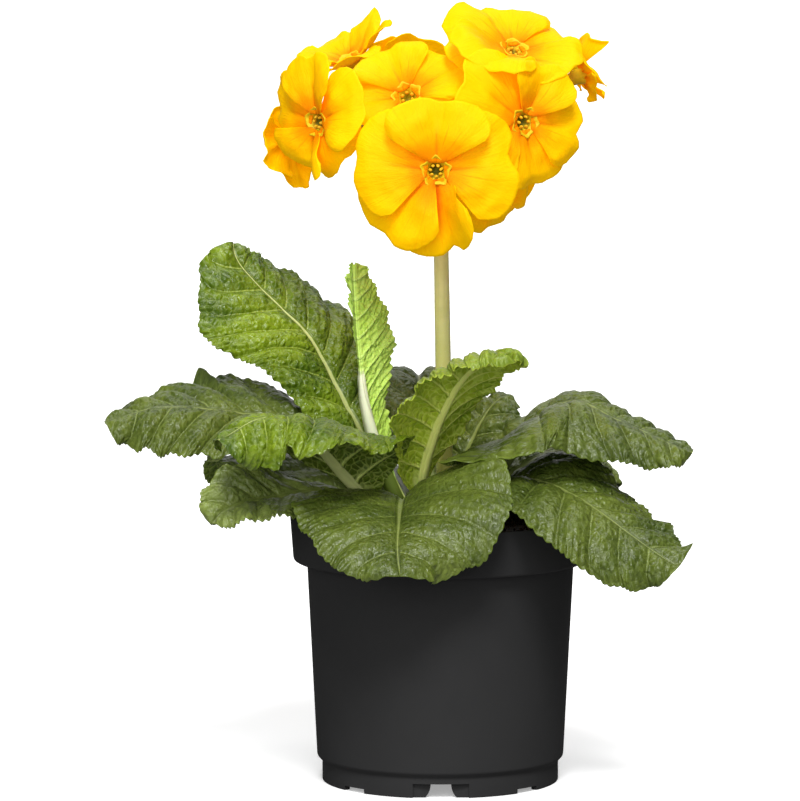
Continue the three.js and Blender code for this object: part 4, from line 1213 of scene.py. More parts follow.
def leaves() -> list[Leaf]:
    """Lists the plant's leaves, as they stand in the part."""
    return [
        Leaf(
            "leaf_upper_left",
            [[-8.5, 1.5, 91], [-21, 7, 110], [-32, 13, 129], [-44.5, 19, 152.5],
             [-54.5, 23, 163], [-64, 27, 172], [-70.5, 30, 179.5], [-73, 33, 186]],
            0.2, 25, 0.52,
            [[0, -16], [0, -22], [-16, -42], [-20, -56]], [[10, 10], [25, 0], [25, -5], [20, 0]],
            1.2, 4, 0.4, 9, MID_LEAF, 153, Detail.FINE, blister=0.8,
            left_fullness=[1.2, 1.15, 1.1, 1.05, 1.15, 1.6, 1.1], right_fullness=[1.3, 1.05, 1.05, 1.0, 0.8],
            pleat=2.1,
        ),
        Leaf(
            "leaf_folded_young",
            [[-11.5, -3.5, 91], [-20.5, -8, 112], [-26, -11, 132],
             [-28, -11, 149], [-29.5, -7.5, 168], [-30, -3, 182]],
            0.22, 14, 0.5,
            [[60, 60], [50, 66], [40, 60], [36, 60]], [[95, 95], [105, 110], [96, 86], [80, 50]],
            0.8, 6, 0, 11, YOUNG_LEAF, -90, Detail.FINE, tooth=1.3, blister=0.4,
            left_fullness=[1.6, 1.15, 1.0, 1.4, 1.15], right_fullness=[0.4, 0.4, 0.4, 0.6, 0.8],
            rib_run=0.5, pleat=0.3, cord=0.1,
        ),
        Leaf(
            "leaf_left_long",
            [[-17.5, 3, 91], [-34, 1, 113], [-50, -1, 126], [-68, -3, 129.5],
             [-86, -5, 132], [-101, -7, 132], [-117, -9, 127]],
            0.24, 25, 0.6,
            [[10, -10], [0, -40], [-18, -54], [-40, -80]], [[10, 10], [24, 19], [22, 2], [0, -45]],
            2.0, 4, 1.2, 7, OLD_LEAF, None, Detail.FINE, lobe=1.3, blister=0.7,
            right_fullness=[1.5, 1.35, 1.05, 0.8], pleat=3.0,
            curls=(Curl(0.41, -1, 0.016, 7.5, 5.5), Curl(0.5, -1, 0.12, 1.5), Curl(0.78, 1, 0.05, 2.0)),
        ),
        Leaf(
            "leaf_left_front",
            [[-15.5, -5.5, 91], [-30, -15, 106], [-42, -29, 121.5],
             [-50, -43, 132], [-62, -53, 134], [-76, -61, 127]],
            0.14, 27, 0.6,
            [[20, 10], [36, 20], [34, -35], [0, -55], [-30, -80]], [[20, 20], [15, 5], [0, -40], [-20, -70]],
            1.8, 4, 2.2, 9, MID_LEAF, -125, Detail.FINE, lobe=0.8, shoulder=3,
            left_fullness=[3.0, 2.2, 1.3, 1.05, 1.1], right_fullness=[1.6, 1.2, 1.0, 1.0, 1.2],
            curls=(Curl(0.62, 1, 0.035, 3.0, -7.0), Curl(0.86, 1, 0.06, -2.0, 1.5)),
        ),
        Leaf(
            "leaf_left_low",
            [[-18, -1.5, 91], [-32, -7.5, 101], [-45, -15, 103.5], [-56, -23, 102.5],
             [-66, -30, 102], [-73, -35, 100], [-79, -38, 95]],
            0.2, 18, 0.6,
            [[0, -20], [-10, -30], [0, -30], [-10, -50]], [[10, 10], [10, 0], [50, 44], [60, 50]],
            1.4, 4, 0.8, 6, LIGHTENED_OLD_LEAF, -172, right_fullness=[1.6, 1.1, 0.9, 0.9],
        ),
        Leaf(
            "leaf_left_back",
            [[-13.5, 6.5, 91], [-30, 14, 106], [-43, 23, 112], [-52, 31, 109], [-60, 39, 100], [-67, 45, 90]],
            0.22, 20, 0.55,
            [[-20, -30], [-12, -20], [10, 10], [10, 0]], [[10, 0], [10, -20], [-5, -40], [-10, -60]],
            1.4, 4, 2.8, 5, LIGHTENED_OLD_LEAF, shoulder=9,
            left_fullness=[2.6, 2.1, 1.9, 1.7], right_fullness=[1.5, 1.2, 1.0, 1.0],
        ),
        Leaf(
            "leaf_right_centre",
            [[-6.5, -7, 91], [-7, -14, 108.5], [-3.5, -20, 122], [0.5, -27, 133],
             [6, -35, 144], [13, -44, 152], [20, -53, 155.5], [25, -60, 154]],
            0.14, 21, 0.55,
            [[45, 30], [40, 10], [30, -25], [20, -90]], [[0, -60], [10, -45], [15, -45], [15, -60]],
            1.2, 5, 0.2, 10, CUPPED_LEAF, -60, Detail.FINE, tooth=1.2,
            left_fullness=[1.9, 1.4, 0.95, 1.0], right_fullness=[1.2, 1.2, 1.15, 1.0],
        ),
        Leaf(
            "leaf_front",
            [[-11.5, -9, 91.5], [-13, -20, 101.5], [-14, -36, 101],
             [-14.5, -54, 98], [-15, -70, 91], [-14, -80, 83]],
            0.12, 40, 0.47,
            [[30, 20], [35, 25], [10, 0], [-20, -60]], [[10, -5], [15, -10], [10, -15], [5, -30]],
            1.8, 4, 1.9, 6, OLD_LEAF, -92, Detail.FINE, blister=0.45,
            left_fullness=[1.3, 1.03, 1.0, 1.0, 1.0], right_fullness=[1.4, 1.1, 0.92, 0.88, 1.0],
        ),
        Leaf(
            "leaf_right_long",
            [[8, 0.5, 91], [23, -6.5, 114], [31.5, -10.5, 125.5], [38.5, -14, 133],
             [48, -17, 135.5], [59, -20, 130.5], [71, -22, 125.5], [87, -24, 118]],
            0.27, 25, 0.5,
            [[20, 10], [22, -40], [22, -100], [12, -50]], [[20, 0], [5, -35], [-5, -50], [-10, -60]],
            1.6, 4, 0.9, 8, OLD_LEAF, None, Detail.FINE,
            left_fullness=[2.0, 1.7, 1.3, 1.5, 1.3, 1.0], right_fullness=[1.6, 1.5, 1.3, 1.1, 1.0, 1.0],
            back=36, shoulder=14,
        ),
        Leaf(
            "leaf_right_low",
            [[6.5, -5.5, 91], [20.5, -14, 103.5], [29, -24, 109], [39, -33, 108],
             [49, -42, 104], [58, -48, 98.5], [67.5, -53, 92], [81, -58, 83]],
            0.16, 25, 0.55,
            [[20, 20], [20, 0], [5, -15], [10, 10]], [[10, -10], [5, -25], [-5, -40], [-45, -90]],
            1.4, 4, 2.5, 7, OLD_LEAF, None, Detail.FINE, pleat=2.2, back=7, shoulder=4,
            curls=(Curl(0.93, 1, 0.05, 3.0),),
            left_fullness=[2.2, 1.7, 1.15, 1.0, 1.0], right_fullness=[1.0, 1.1, 1.05, 1.06, 1.1],
        ),
        Leaf(
            "leaf_right_behind",
            [[1.5, 4.5, 91], [6, 7, 106], [11, 10, 119], [16, 14, 128], [20.5, 18, 132.5], [25, 22, 133]],
            0.26, 14, 0.55,
            [[30, 20], [30, 20], [20, -10], [0, -40]], [[0, -20], [-20, -40], [-20, -60], [-20, -60]],
            1.0, 4, 0.5, 5, OLD_LEAF, 28, left_fullness=[1.9, 1.8, 1.5, 1.3],
        ),
        Leaf(
            "leaf_back_centre",
            [[-4, 5, 91], [-5, 14, 107], [-6, 24, 123], [-7, 36, 134], [-7.5, 49, 137.5], [-8, 63, 132]],
            0.2, 17, 0.55,
            [[20, 20], [30, 0], [30, -15], [10, -50]], [[20, 20], [30, 0], [30, -15], [10, -50]],
            1.8, 4, 1.5, 5,
        ),
        Leaf(
            "leaf_back_right",
            [[6.5, 7, 91], [14, 24, 98.5], [21, 40, 101], [28, 54, 98.5], [33, 65, 90], [36, 73, 80]],
            0.22, 23, 0.55,
            [[20, 0], [20, -20], [5, -30], [0, -50]], [[20, 0], [10, -20], [0, -30], [-10, -50]],
            1.6, 4, 2.1, 5,
        ),
        Leaf(
            "leaf_right_back",
            [[10, 4.5, 91], [24, 13, 105], [37, 20, 112.5], [48, 26, 113], [57, 31, 108], [63, 35, 101]],
            0.22, 19, 0.55,
            [[20, 0], [20, -10], [10, -20], [0, -50]], [[20, 0], [10, -20], [0, -30], [-10, -50]],
            1.4, 4, 1.1, 5, LIGHTENED_OLD_LEAF,
        ),
        Leaf(
            "leaf_back_low",
            [[-8.5, 9, 91], [-13, 29, 99.5], [-17, 47, 103], [-20, 61, 101], [-22, 72, 93], [-23, 80, 82]],
            0.22, 21, 0.55,
            [[20, 0], [15, -20], [5, -30], [0, -50]], [[20, 0], [15, -20], [5, -30], [0, -50]],
            1.4, 4, 0.3, 5,
        ),
    ]


# Blooms

@dataclass(frozen=True)
class Petal:
    """How one petal strays from the even five.

    level puts its edges over those of a neighbour with a lower one, turn is in degrees, width is a share, cw
    and ccw fold up the half on the clockwise or the other side, in degrees, bend lifts the petal's end, in
    millimetres, and point goes from 0 for a round end with a notch to 1 for a narrow one.
    """

    level: float = 0
    turn: float = 0
    width: float = 1
    cw: float = 0
    ccw: float = 0
    bend: float = 0
    point: float = 0


def layered(*levels: float) -> tuple[Petal, ...]:
    """Returns five plain petals with these levels, from the uppermost one counter-clockwise."""
    return tuple(Petal(level) for level in levels)


@dataclass
class Bloom:
    """One corolla: five petals round a raised star, a throat with anthers, and a tube.

    eye is the centre of its throat, azimuth 0 faces the front and 90 the right, radius runs to a petal's tip,
    spin turns the petals, reach is each petal's share of the radius, rise and reflex lift the petals and turn
    them back, and phase picks the pattern of its waves.
    """

    name: str
    eye: Place
    azimuth: float
    elevation: float
    radius: float
    spin: float
    reach: tuple[float, float, float, float, float]
    rise: float
    reflex: float
    phase: float
    petals: tuple[Petal, ...] = layered(4, 2, 3, 0, 1)

    PETALS = 5
    PETAL_GRID = (30, 31)
    ROOT = 2.85
    CLAW = 2.3
    SWEEP = 2.0
    IMBRICATION = 9
    TUBE = 15.0
    STAR = 4.6
    STAR_SIDES = 60
    SMALL_STAR = 0.85
    FULL_STAR_FROM = 20
    SEVEN_ANTHERS_FROM = 25
    ANTHER_RING = 1.95
    ANTHER_LEAN = -0.25

    def facing(self) -> Array:
        """Returns the direction that the bloom faces."""
        return compass(self.azimuth, self.elevation)

    def placed(self, local: Array) -> Array:
        """Returns points of the bloom's own axes at their place on the plant."""
        return np.array(self.eye) + local @ axes_facing(self.facing())

    def dish(self, distance: Array) -> Array:
        """Returns how far the bloom's face stands in front of its eye at a distance from its axis."""
        reach = distance / self.radius
        return self.radius * (self.rise * reach - self.reflex * reach ** 2)

    def petal(self, index: int) -> Skin:
        """Builds one petal.

        Args:
            index: Which petal, counter-clockwise from the uppermost.

        Returns:
            The closed skin, with the values that the finish reads.
        """
        rows, columns = self.PETAL_GRID
        own, cw, ccw = self.petals[index], self.petals[index - 1], self.petals[(index + 1) % self.PETALS]
        even = np.linspace(-1, 1, columns)
        along, across = np.meshgrid(np.linspace(0, 1, rows), even * (1.25 - 0.25 * even ** 2), indexing="ij")
        share, seed, turned = np.abs(across), self.phase * 3.1 + index * 1.7, self.SWEEP * across
        length = self.radius * self.reach[index] - self.ROOT
        off_notch = (across - 0.1 * np.sin(seed * 7)) / (0.13 + 0.04 * np.sin(seed * 11))
        notch = (0.1 - 0.05 * np.sin(seed * 3)) * (1 - own.point) * np.exp(-(off_notch ** 2))
        frill = 0.022 * np.sin(across * 5 + seed * 5) + 0.012 * np.sin(across * 13 + seed * 9)
        edge = 1 + frill + 0.007 * np.sin(across * 41 + seed * 4)
        wide = 0.6 * self.radius * own.width * (1 - 0.6 * own.point * np.maximum(np.cos(turned), 0) ** 0.5)
        x = mix(self.CLAW * across, wide * np.sin(turned) * edge, along)
        y = self.ROOT + length * along * (0.56 + 0.44 * np.cos(turned) * edge - notch)
        distance = np.hypot(x, y)
        far = distance / self.radius
        over = np.where(across > 0, np.sign(own.level - cw.level), np.sign(own.level - ccw.level))
        overlap = np.abs(x) * over * math.tan(math.radians(self.IMBRICATION))
        folded = np.radians(np.where(across > 0, own.cw, own.ccw)) * smooth(far, 0.12, 0.5)
        lifted = np.abs(x) * np.sin(folded) + own.bend * smooth(far, 0.15, 1.0) ** 1.5
        groove = -0.6 * np.exp(-((across / 0.16) ** 2)) * np.sin(np.pi * np.minimum(1, along * 1.15 + 0.05))
        belly = 1.1 * np.sin(np.pi * share) * np.sin(np.pi * along) * (0.8 + 0.3 * np.sin(seed * 2 + across))
        wave = 0.9 * far ** 2 * np.sin(2.3 * np.pi * across + self.phase + 1.7 * index)
        crimp = 0.3 * far ** 4 * np.sin(6.5 * np.pi * across + seed * 4)
        soft = 0.75 * ripple(x / 6 + seed, y / 6, seed) + 0.3 * ripple(x / 2.6, y / 3.4 + seed, seed + 1)
        curl = -1.3 * smooth(along, 0.75, 1.0) ** 2 * (0.5 + 0.5 * np.sin(turned * 2.2 + seed * 6))
        z = self.dish(distance) + overlap + lifted + (groove + belly) + wave + crimp + curl
        z = z + soft * smooth(far, 0.15, 0.5)
        x = x * np.cos(folded)
        turn = math.radians(self.spin + 360 / self.PETALS * index + own.turn)
        c, s = math.cos(turn), math.sin(turn)
        local = np.stack([x * c - y * s, x * s + y * c, z], -1)
        lift = np.zeros_like(local)
        lift[..., 2] = mix(0.5, 0.3, along) / 2
        # Painted shade: the fold mask marks the central groove near the foot, the gaps between the petals
        # round the star and the flatter half of an unevenly folded petal.
        fold = np.exp(-((across / 0.06) ** 2)) * (1 - smooth(along, 0.1, 0.75)) * 0.6
        fold = np.maximum(fold, 0.55 * (1 - smooth(distance, 4.5, 6.8)) * smooth(share, 0.3, 1.0))
        shaded_half = smooth(abs(own.cw - own.ccw), 15, 45) * (1 - smooth(far, 0.45, 0.95)) * (1 - 0.7 * share)
        fold = np.maximum(fold, shaded_half * np.where(across > 0, own.cw < own.ccw, own.ccw < own.cw))
        rim = np.maximum(share, smooth(along, 0.92, 1.0))
        values = {"along": along, "share": rim, "fold": fold, "tip": 0 * along}
        plane = np.stack([0.5 + 0.45 * across, 0.05 + 0.9 * along], -1)
        return sheet_skin(self.placed(local + lift), self.placed(local - lift), values, plane)

    def star(self) -> Skin:
        """Builds the raised star round the throat, the throat and the tube as one turned form.

        Returns:
            The closed skin.
        """
        angle = turns(self.STAR_SIDES)
        turn = angle - math.radians(self.spin + 90)
        lobe = 0.5 + 0.5 * np.cos(5 * turn)
        scallop = 0.16 * np.cos(10 * turn + self.phase) + 0.12 * np.cos(15 * turn)
        size = 1.0 if self.radius > self.FULL_STAR_FROM else self.SMALL_STAR
        rim = size * (self.STAR + 0.95 * lobe ** 1.5 + scallop)
        foot = self.dish(rim) - 0.1
        profile = [
            # Each ring's last number is its tone, from the dark foot colour to the golden tip colour: darker
            # down into the throat, partly the throat's own olive green and partly painted shade deep in it.
            (0.5, -2.6, 0.0), (1.0, -2.5, 0.0), (1.5, -1.8, 0.12), (2.2, -0.9, 0.4), (2.7, -0.3, 0.62),
            (rim * 0.72, 0.4 * foot + 0.3, 0.8), (rim * 0.87, foot + 0.55, 0.8),
            (rim * 0.96, foot + 0.85, 0.86), (rim, foot + 0.65, 0.9),
            (rim * 0.99, foot + 0.4, 0.9), (rim * 0.9, foot - 0.15, 0.9),
            (2.9, -0.6, 0.6), (2.3, -2.4, 0.6), (1.7, -5.5, 0.8), (1.4, -9.0, 0.8), (1.35, -self.TUBE, 0.8),
        ]
        rings = np.array([circled(radius, angle, height) for radius, height, _ in profile])
        skin = turned_skin(self.placed(rings)[:, ::-1], {"tip": column([tone for _, _, tone in profile])})
        zero = np.zeros(len(skin.points))
        skin.values.update({"along": zero, "share": zero, "fold": zero, "under": zero})
        skin.plane = np.full((len(skin.points), 2), 0.02)
        return skin

    def anther_places(self) -> tuple[Array, Array]:
        """Sets the anthers round the throat.

        Returns:
            Where they stand, and the direction that each one points in.
        """
        angle = turns(7 if self.radius > self.SEVEN_ANTHERS_FROM else 6) + self.phase
        local = circled(self.ANTHER_RING, angle, 0.1)
        places = self.placed(local)
        return places, self.placed(local + circled(self.ANTHER_LEAN, angle, 1)) - places

    def build(self, finishes: Finishes) -> Piece:
        """Makes the bloom and ties it to its solid.

        Args:
            finishes: Materials by name.

        Returns:
            The bloom's object.
        """
        petals, star = [self.petal(k) for k in range(self.PETALS)], self.star()
        whole = merged_skins([*petals, star])
        whole.slots = [0] * sum(len(petal.faces) for petal in petals) + [1] * len(star.faces)
        piece = piece_from(f"{self.name}_corolla", whole, [finishes["petal"], finishes["eye"]])
        return tied(piece, self.name)


def blooms() -> list[Bloom]:
    """Lists the umbel's blooms, as they stand in the part."""
    return [
        Bloom(
            "bloom_front", (-1.9, -44, 217), -2, -5, 28.5, 0, (0.9, 1, 1.06, 1.07, 1), 0.22, 0.3, 0.3,
            (Petal(4, -2, 1.05, 5, 5), Petal(3, 9, 1.05), Petal(2, -8, 0.95, 0, 12),
             Petal(1, -26, 1.05, 8, 58), Petal(3, -13, 1.1)),
        ),
        Bloom(
            "bloom_right_front", (28, -28.5, 232.5), 28, 0, 23.5, -25,
            (0.98, 1.26, 1.14, 1, 1), 0.26, 0.26, 1.1,
            (Petal(4, 0, 0.9, 16, 14), Petal(3, 6, 1.1), Petal(1, -4, 1.0, 0, 12),
             Petal(0, 0, 1, 24, 4), Petal(2)),
        ),
        Bloom(
            "bloom_left_front", (-42, -22, 232), -48, -4, 24.5, 2, (1, 1, 0.75, 0.75, 1), 0.26, 0.3, 2,
            (Petal(4, 0, 0.9, 14, 10), Petal(1, 0, 1, 12), Petal(3, 12, 1.12, 4, 24),
             Petal(0), Petal(2, 0, 1, 18)),
        ),
        Bloom(
            "bloom_left_upper", (-11.5, -19, 240), -8, 30, 20.5, 22,
            (1, 0.9, 0.85, 0.85, 1.15), 0.36, 0.28, 0.7,
            (Petal(4, 6, 1.12, 4, 10), Petal(2, 6, 1, 14), Petal(0), Petal(1),
             Petal(3, -4, 0.95, 0, 14, point=0.7)),
        ),
        Bloom(
            "bloom_top_right", (25, -8.6, 255), 25, 55, 24, -12, (0.95, 1.12, 1.22, 1, 0.95), 0.36, 0.26, 2.6,
            (Petal(1), Petal(2, 6, 1.1), Petal(4, -8, 1.15, bend=7), Petal(3, 8, bend=5), Petal(0)),
        ),
        Bloom(
            "bloom_top_back", (24.5, 23.5, 251), 150, 36, 20.5, 0, (1, 1, 0.9, 0.9, 1), 0.3, 0.2, 0.2,
            layered(0, 3, 1, 4, 2),
        ),
        Bloom(
            "bloom_right_back", (47.5, 4.5, 246), 112, 26, 15.5, -4,
            (0.75, 0.62, 0.6, 0.6, 0.62), 0.44, 0.16, 1.6,
            (Petal(4, 0, 1.15, bend=8, point=0.6), Petal(2, point=0.3), Petal(1), Petal(3),
             Petal(0, point=0.3)),
        ),
        Bloom(
            "bloom_left_top", (-31, 9, 250), -50, 62, 19.5, 10, (1, 1, 0.9, 0.9, 1), 0.5, 0.2, 2.3,
            (Petal(3, -8, 0.6, bend=4, point=0.9), Petal(0), Petal(4, bend=2), Petal(1, 8, bend=3),
             Petal(2, 10, 0.6, bend=5.5, point=1.0)),
        ),
        Bloom(
            "bloom_left_back", (-51, 10, 225), -128, -8, 19, 36, (0.9, 1, 1, 1.12, 0.72), 0.26, 0.3, 0.9,
            (Petal(1, point=0.6), Petal(2, 0, 0.8), Petal(4, 0, 0.8, point=0.7),
             Petal(0, point=0.6), Petal(3, 0, 0.75)),
        ),
        Bloom(
            "bloom_right_low", (18, -19, 208), 35, -30, 16.5, 0, (0.9, 0.95, 1, 1, 0.95), 0.3, 0.3, 1.9,
            layered(4, 1, 3, 0, 2),
        ),
        Bloom(
            "bloom_back_left", (-14, 34, 240), -162, 20, 22, 20, (1, 0.95, 1, 1, 0.95), 0.3, 0.3, 0.4,
            layered(0, 4, 2, 3, 1),
        ),
        Bloom(
            "bloom_back_right", (22, 37, 218.5), 146, -8, 22, 50, (1, 0.95, 1, 1, 0.95), 0.3, 0.3, 2.8,
            layered(3, 1, 4, 0, 2),
        ),
    ]


# Geometry Nodes

class Scatter:
    """A Geometry Nodes tree that strews grains or hairs over a carrier mesh or stands them on its points."""

    def __init__(self, name: str, sizes: dict[str, float]) -> None:
        """Starts a tree.

        Args:
            name: The tree's name.
            sizes: The name and default of each input besides the geometry, a whole number for an Int.
        """
        self.tree = bpy.data.node_groups.new(name, "GeometryNodeTree")
        self.n = Nodes(self.tree)
        self.identifiers: dict[str, str] = {}
        for way in ("INPUT", "OUTPUT"):
            self.tree.interface.new_socket("Geometry", in_out=way, socket_type="NodeSocketGeometry")
        for label, default in sizes.items():
            kind = "NodeSocketInt" if isinstance(default, int) else "NodeSocketFloat"
            socket = self.tree.interface.new_socket(label, in_out="INPUT", socket_type=kind)
            socket.default_value = default
            self.identifiers[label] = socket.identifier
        self.given = self.n.add("NodeGroupInput").outputs

    def strewn(self) -> Any:
        """Returns the outputs of a node that strews points over the carrier's faces."""
        given = self.given
        inputs = {"Mesh": given["Geometry"], "Density": given["Density"], "Seed": given["Seed"]}
        return self.n.add("GeometryNodeDistributePointsOnFaces", inputs, distribute_method="RANDOM").outputs

    def chance(self, low: Colour, high: Colour) -> Socket:
        """Returns a random vector between two others, different at each point."""
        inputs = {"Min": low, "Max": high, "Seed": self.given["Seed"]}
        return self.n.add("FunctionNodeRandomValue", inputs, data_type="FLOAT_VECTOR").outputs["Value"]

    def finish(self, material: Material, **inputs: Any) -> None:
        """Ends the tree: puts instances on points, realizes them and gives them a material.

        Args:
            material: Their material.
            **inputs: Points, Instance, Rotation and Scale of the instances.
        """
        placed = self.n.add("GeometryNodeInstanceOnPoints", inputs).outputs["Instances"]
        real = self.n.add("GeometryNodeRealizeInstances", {0: placed}).outputs[0]
        dressed = self.n.add("GeometryNodeSetMaterial", {"Geometry": real, "Material": material})
        self.n.add("NodeGroupOutput", {0: dressed.outputs[0]})

    def made(self, name: str, carrier: Piece, **sizes: Any) -> Piece:
        """Runs the tree on a carrier and keeps the result as a plain mesh.

        Args:
            name: The new piece's name.
            carrier: The object that the grains or hairs stand on.
            **sizes: Inputs by name, with "_" for each space.

        Returns:
            The new piece.
        """
        modifier = carrier.modifiers.new("scatter", "NODES")
        modifier.node_group = self.tree
        for key, value in sizes.items():
            modifier[self.identifiers[key.replace("_", " ")]] = value
        mesh = applied(carrier)
        carrier.modifiers.remove(modifier)
        mesh.name = name
        shade_smooth(mesh)
        return linked(name, mesh)


def crumb_tree(material: Material) -> Scatter:
    """Makes the tree that strews crumbs of compost over a surface.

    Args:
        material: The crumbs' material.

    Returns:
        The scatter, with the inputs Density, Crumb Size and Seed.
    """
    s = Scatter("compost_crumbs", {"Density": 150000.0, "Crumb Size": 0.0011, "Seed": 7})
    n, size = s.n, s.given["Crumb Size"]
    ball = n.add("GeometryNodeMeshIcoSphere", {"Radius": size, "Subdivisions": 1}).outputs["Mesh"]
    bumps = n.add("ShaderNodeTexNoise", {"Scale": 900.0}).outputs["Color"]
    push = n.scaled(n.vector("SUBTRACT", bumps, (0.5, 0.5, 0.5)), n.times(size, 1.6))
    lumpy = n.add("GeometryNodeSetPosition", {"Geometry": ball, "Offset": push}).outputs["Geometry"]
    turn, grow = s.chance((0, 0, 0), (6.28, 6.28, 6.28)), s.chance((0.35, 0.3, 0.3), (1.7, 0.9, 0.8))
    s.finish(material, Points=s.strewn()["Points"], Instance=lumpy, Rotation=turn, Scale=grow)
    return s


def standing_tree(name: str, material: Material, on_faces: bool) -> Scatter:
    """Makes the tree that stands slim bodies on a surface or on loose points.

    Args:
        name: The tree's name.
        material: The bodies' material.
        on_faces: True strews them over the faces; False puts one on each point, along its stored "facing".

    Returns:
        The scatter, with the inputs Density, Length, Radius, Lean and Seed.
    """
    s = Scatter(name, {"Density": 400000.0, "Length": 0.0006, "Radius": 0.00005, "Lean": 0.35, "Seed": 3})
    n, given = s.n, s.given
    if on_faces:
        points = s.strewn()
        spots, facing = points["Points"], points["Normal"]
        hair = {"Vertices": 3, "Depth": given["Length"], "Radius Bottom": given["Radius"]}
        shape = n.add("GeometryNodeMeshCone", hair).outputs["Mesh"]
    else:
        spots = given["Geometry"]
        named = n.add("GeometryNodeInputNamedAttribute", {"Name": "facing"}, data_type="FLOAT_VECTOR")
        facing = named.outputs["Attribute"]
        ball = n.add("GeometryNodeMeshUVSphere", {"Segments": 10, "Rings": 6, "Radius": given["Radius"]})
        stretch = {"Geometry": ball.outputs["Mesh"], "Scale": (1.0, 0.8, 1.7)}
        shape = n.add("GeometryNodeTransform", stretch).outputs["Geometry"]
    total = n.vector("ADD", facing, n.scaled(s.chance((-1, -1, -1), (1, 1, 1)), given["Lean"]))
    aim = n.add("FunctionNodeAlignEulerToVector", {"Vector": total}, axis="Z").outputs["Rotation"]
    s.finish(material, Points=spots, Instance=shape, Rotation=aim)
    return s


# The stalk, the buds and the crown

@dataclass
class FlowerStalk:
    """The scape, its knob and bracts, and a pedicel and calyx for each bloom."""

    heads: list[Bloom]
    umbel: Place = (-0.6, 0, 221)
    foot: Place = (1.6, -1, 89.6)
    foot_radius: float = 3.05
    top_radius: float = 2.5
    calyx_length: float = 9.5
    calyx_notch: float = 6.6
    calyx_hole: float = 2.6
    bract_length: float = 8.0
    bracts: int = 6
    bract_radius: float = 1.45
    knob_radius: float = 3.0
    pedicel_radii: tuple[float, float] = (1.15, 1.05)

    CALYX_OUTSIDE = ((0.9, 0.0), (1.3, 0.12), (2.5, 0.22), (3.15, 0.4), (3.3, 0.6), (3.35, 0.8), (3.55, 1.0))
    CALYX_INSIDE = ((0.35, 0.985), (0.5, 0.8), (0.7, 0.6))
    CALYX_RADIUS = 3.4
    CALYX_BORE = 2.0
    SCAPE_ROWS, SCAPE_SIDES = 60, 36
    CALYX_SIDES = 50
    PEDICEL_ROWS, PEDICEL_SIDES = 24, 14
    BRACT_ROWS, BRACT_SIDES = 14, 12
    KNOB_ROWS, KNOB_SIDES = 18, 28

    def scape(self) -> Skin:
        """Builds the round, faintly ribbed scape.

        Returns:
            The closed skin.
        """
        foot, top = np.array(self.foot, float), np.array(self.umbel, float)
        waist = (foot + top) / 2 + [0.5, 0, 0]
        t = np.linspace(0, 1, self.SCAPE_ROWS)[:, None]
        line = rounded(foot, waist, top, t)
        rings = tube_rings(line, mix(self.foot_radius, self.top_radius, t[:, 0]), self.SCAPE_SIDES)
        centre, angle = line[:, None], turns(self.SCAPE_SIDES)
        ribs = 1 - 0.012 * (1 + np.cos(6 * angle)) - 0.008 * ripple(t * 14, angle[None] * 0 + 1.0, 2.0)
        # the stalk grows paler towards the umbel: partly its own colour, partly painted light where the
        # blooms shade its top
        return turned_skin(centre + (rings - centre) * ribs[..., None], {"tip": smooth(t, 0.15, 0.8)})

    def calyx_foot(self, bloom: Bloom) -> Array:
        """Returns where a bloom's calyx begins."""
        return np.array(bloom.eye) - bloom.facing() * (Bloom.TUBE + 0.35 + self.calyx_hole)

    def calyx(self, bloom: Bloom) -> Skin:
        """Builds a five-ribbed calyx with pointed teeth round a bloom's tube.

        Args:
            bloom: The bloom that it holds.

        Returns:
            The closed skin.
        """
        angle = turns(self.CALYX_SIDES)
        tooth = np.abs(((angle * 5 / (2 * np.pi)) % 1) * 2 - 1)
        ribbed = 0.88 + 0.12 * tooth ** 1.5
        edge = mix(self.calyx_notch, self.calyx_length, tooth ** 1.3)
        rings, tips = [], []
        for radius, share in self.CALYX_OUTSIDE:
            form = mix(1.0, ribbed, smooth(share, 0.05, 0.4))
            height = mix(share * self.calyx_length, edge * share, smooth(share, 0.3, 0.9))
            rings.append(circled(radius * form, angle, height))
            tips.append(share * 0.3)
        for inset, share in self.CALYX_INSIDE:
            radius = np.maximum(self.CALYX_RADIUS * ribbed - inset, self.CALYX_BORE)
            rings.append(circled(radius, angle, edge * share))
            tips.append(0.2)
        rings.append(circled(self.CALYX_BORE, angle, self.calyx_hole))
        tips.append(0.0)
        placed = self.calyx_foot(bloom) + np.array(rings) @ axes_facing(bloom.facing())
        return turned_skin(placed, {"tip": column(tips)})

    def pedicel(self, bloom: Bloom) -> Skin:
        """Builds the curved stem between the knob and a calyx.

        Args:
            bloom: The bloom at its end.

        Returns:
            The closed skin.
        """
        start, end = np.array(self.umbel, float), self.calyx_foot(bloom)
        facing, rows = bloom.facing(), self.PEDICEL_ROWS
        reach = np.linalg.norm(end - start)
        leave = unit(unit(end - start) + np.array([0, 0, 0.6]))
        bends = [start + leave * reach * 0.4, end - facing * reach * 0.35]
        line = bezier([start, *bends, end + facing * 0.6], rows)
        rings = tube_rings(line, np.linspace(*self.pedicel_radii, rows), self.PEDICEL_SIDES)
        return turned_skin(rings, {"tip": 0.15})

    def bract(self, index: int) -> Skin:
        """Builds one slim, pointed bract under the umbel.

        Args:
            index: Which bract, counter-clockwise.

        Returns:
            The closed skin.
        """
        angle = 2 * np.pi * (index + 0.3) / self.bracts
        outward = np.array([math.cos(angle), math.sin(angle), -0.25])
        t = np.linspace(0, 1, self.BRACT_ROWS)
        root = np.array(self.umbel) + [0, 0, -1.4]
        arch = np.array([0, 0, 1.0]) * (0.5 * np.sin(np.pi * t))[:, None]
        line = root + outward * (t * self.bract_length)[:, None] + arch
        rings = tube_rings(line, self.bract_radius * (1 - t) ** 0.8 + 0.12, self.BRACT_SIDES, 0.7)
        return turned_skin(rings, {"tip": 0.1})

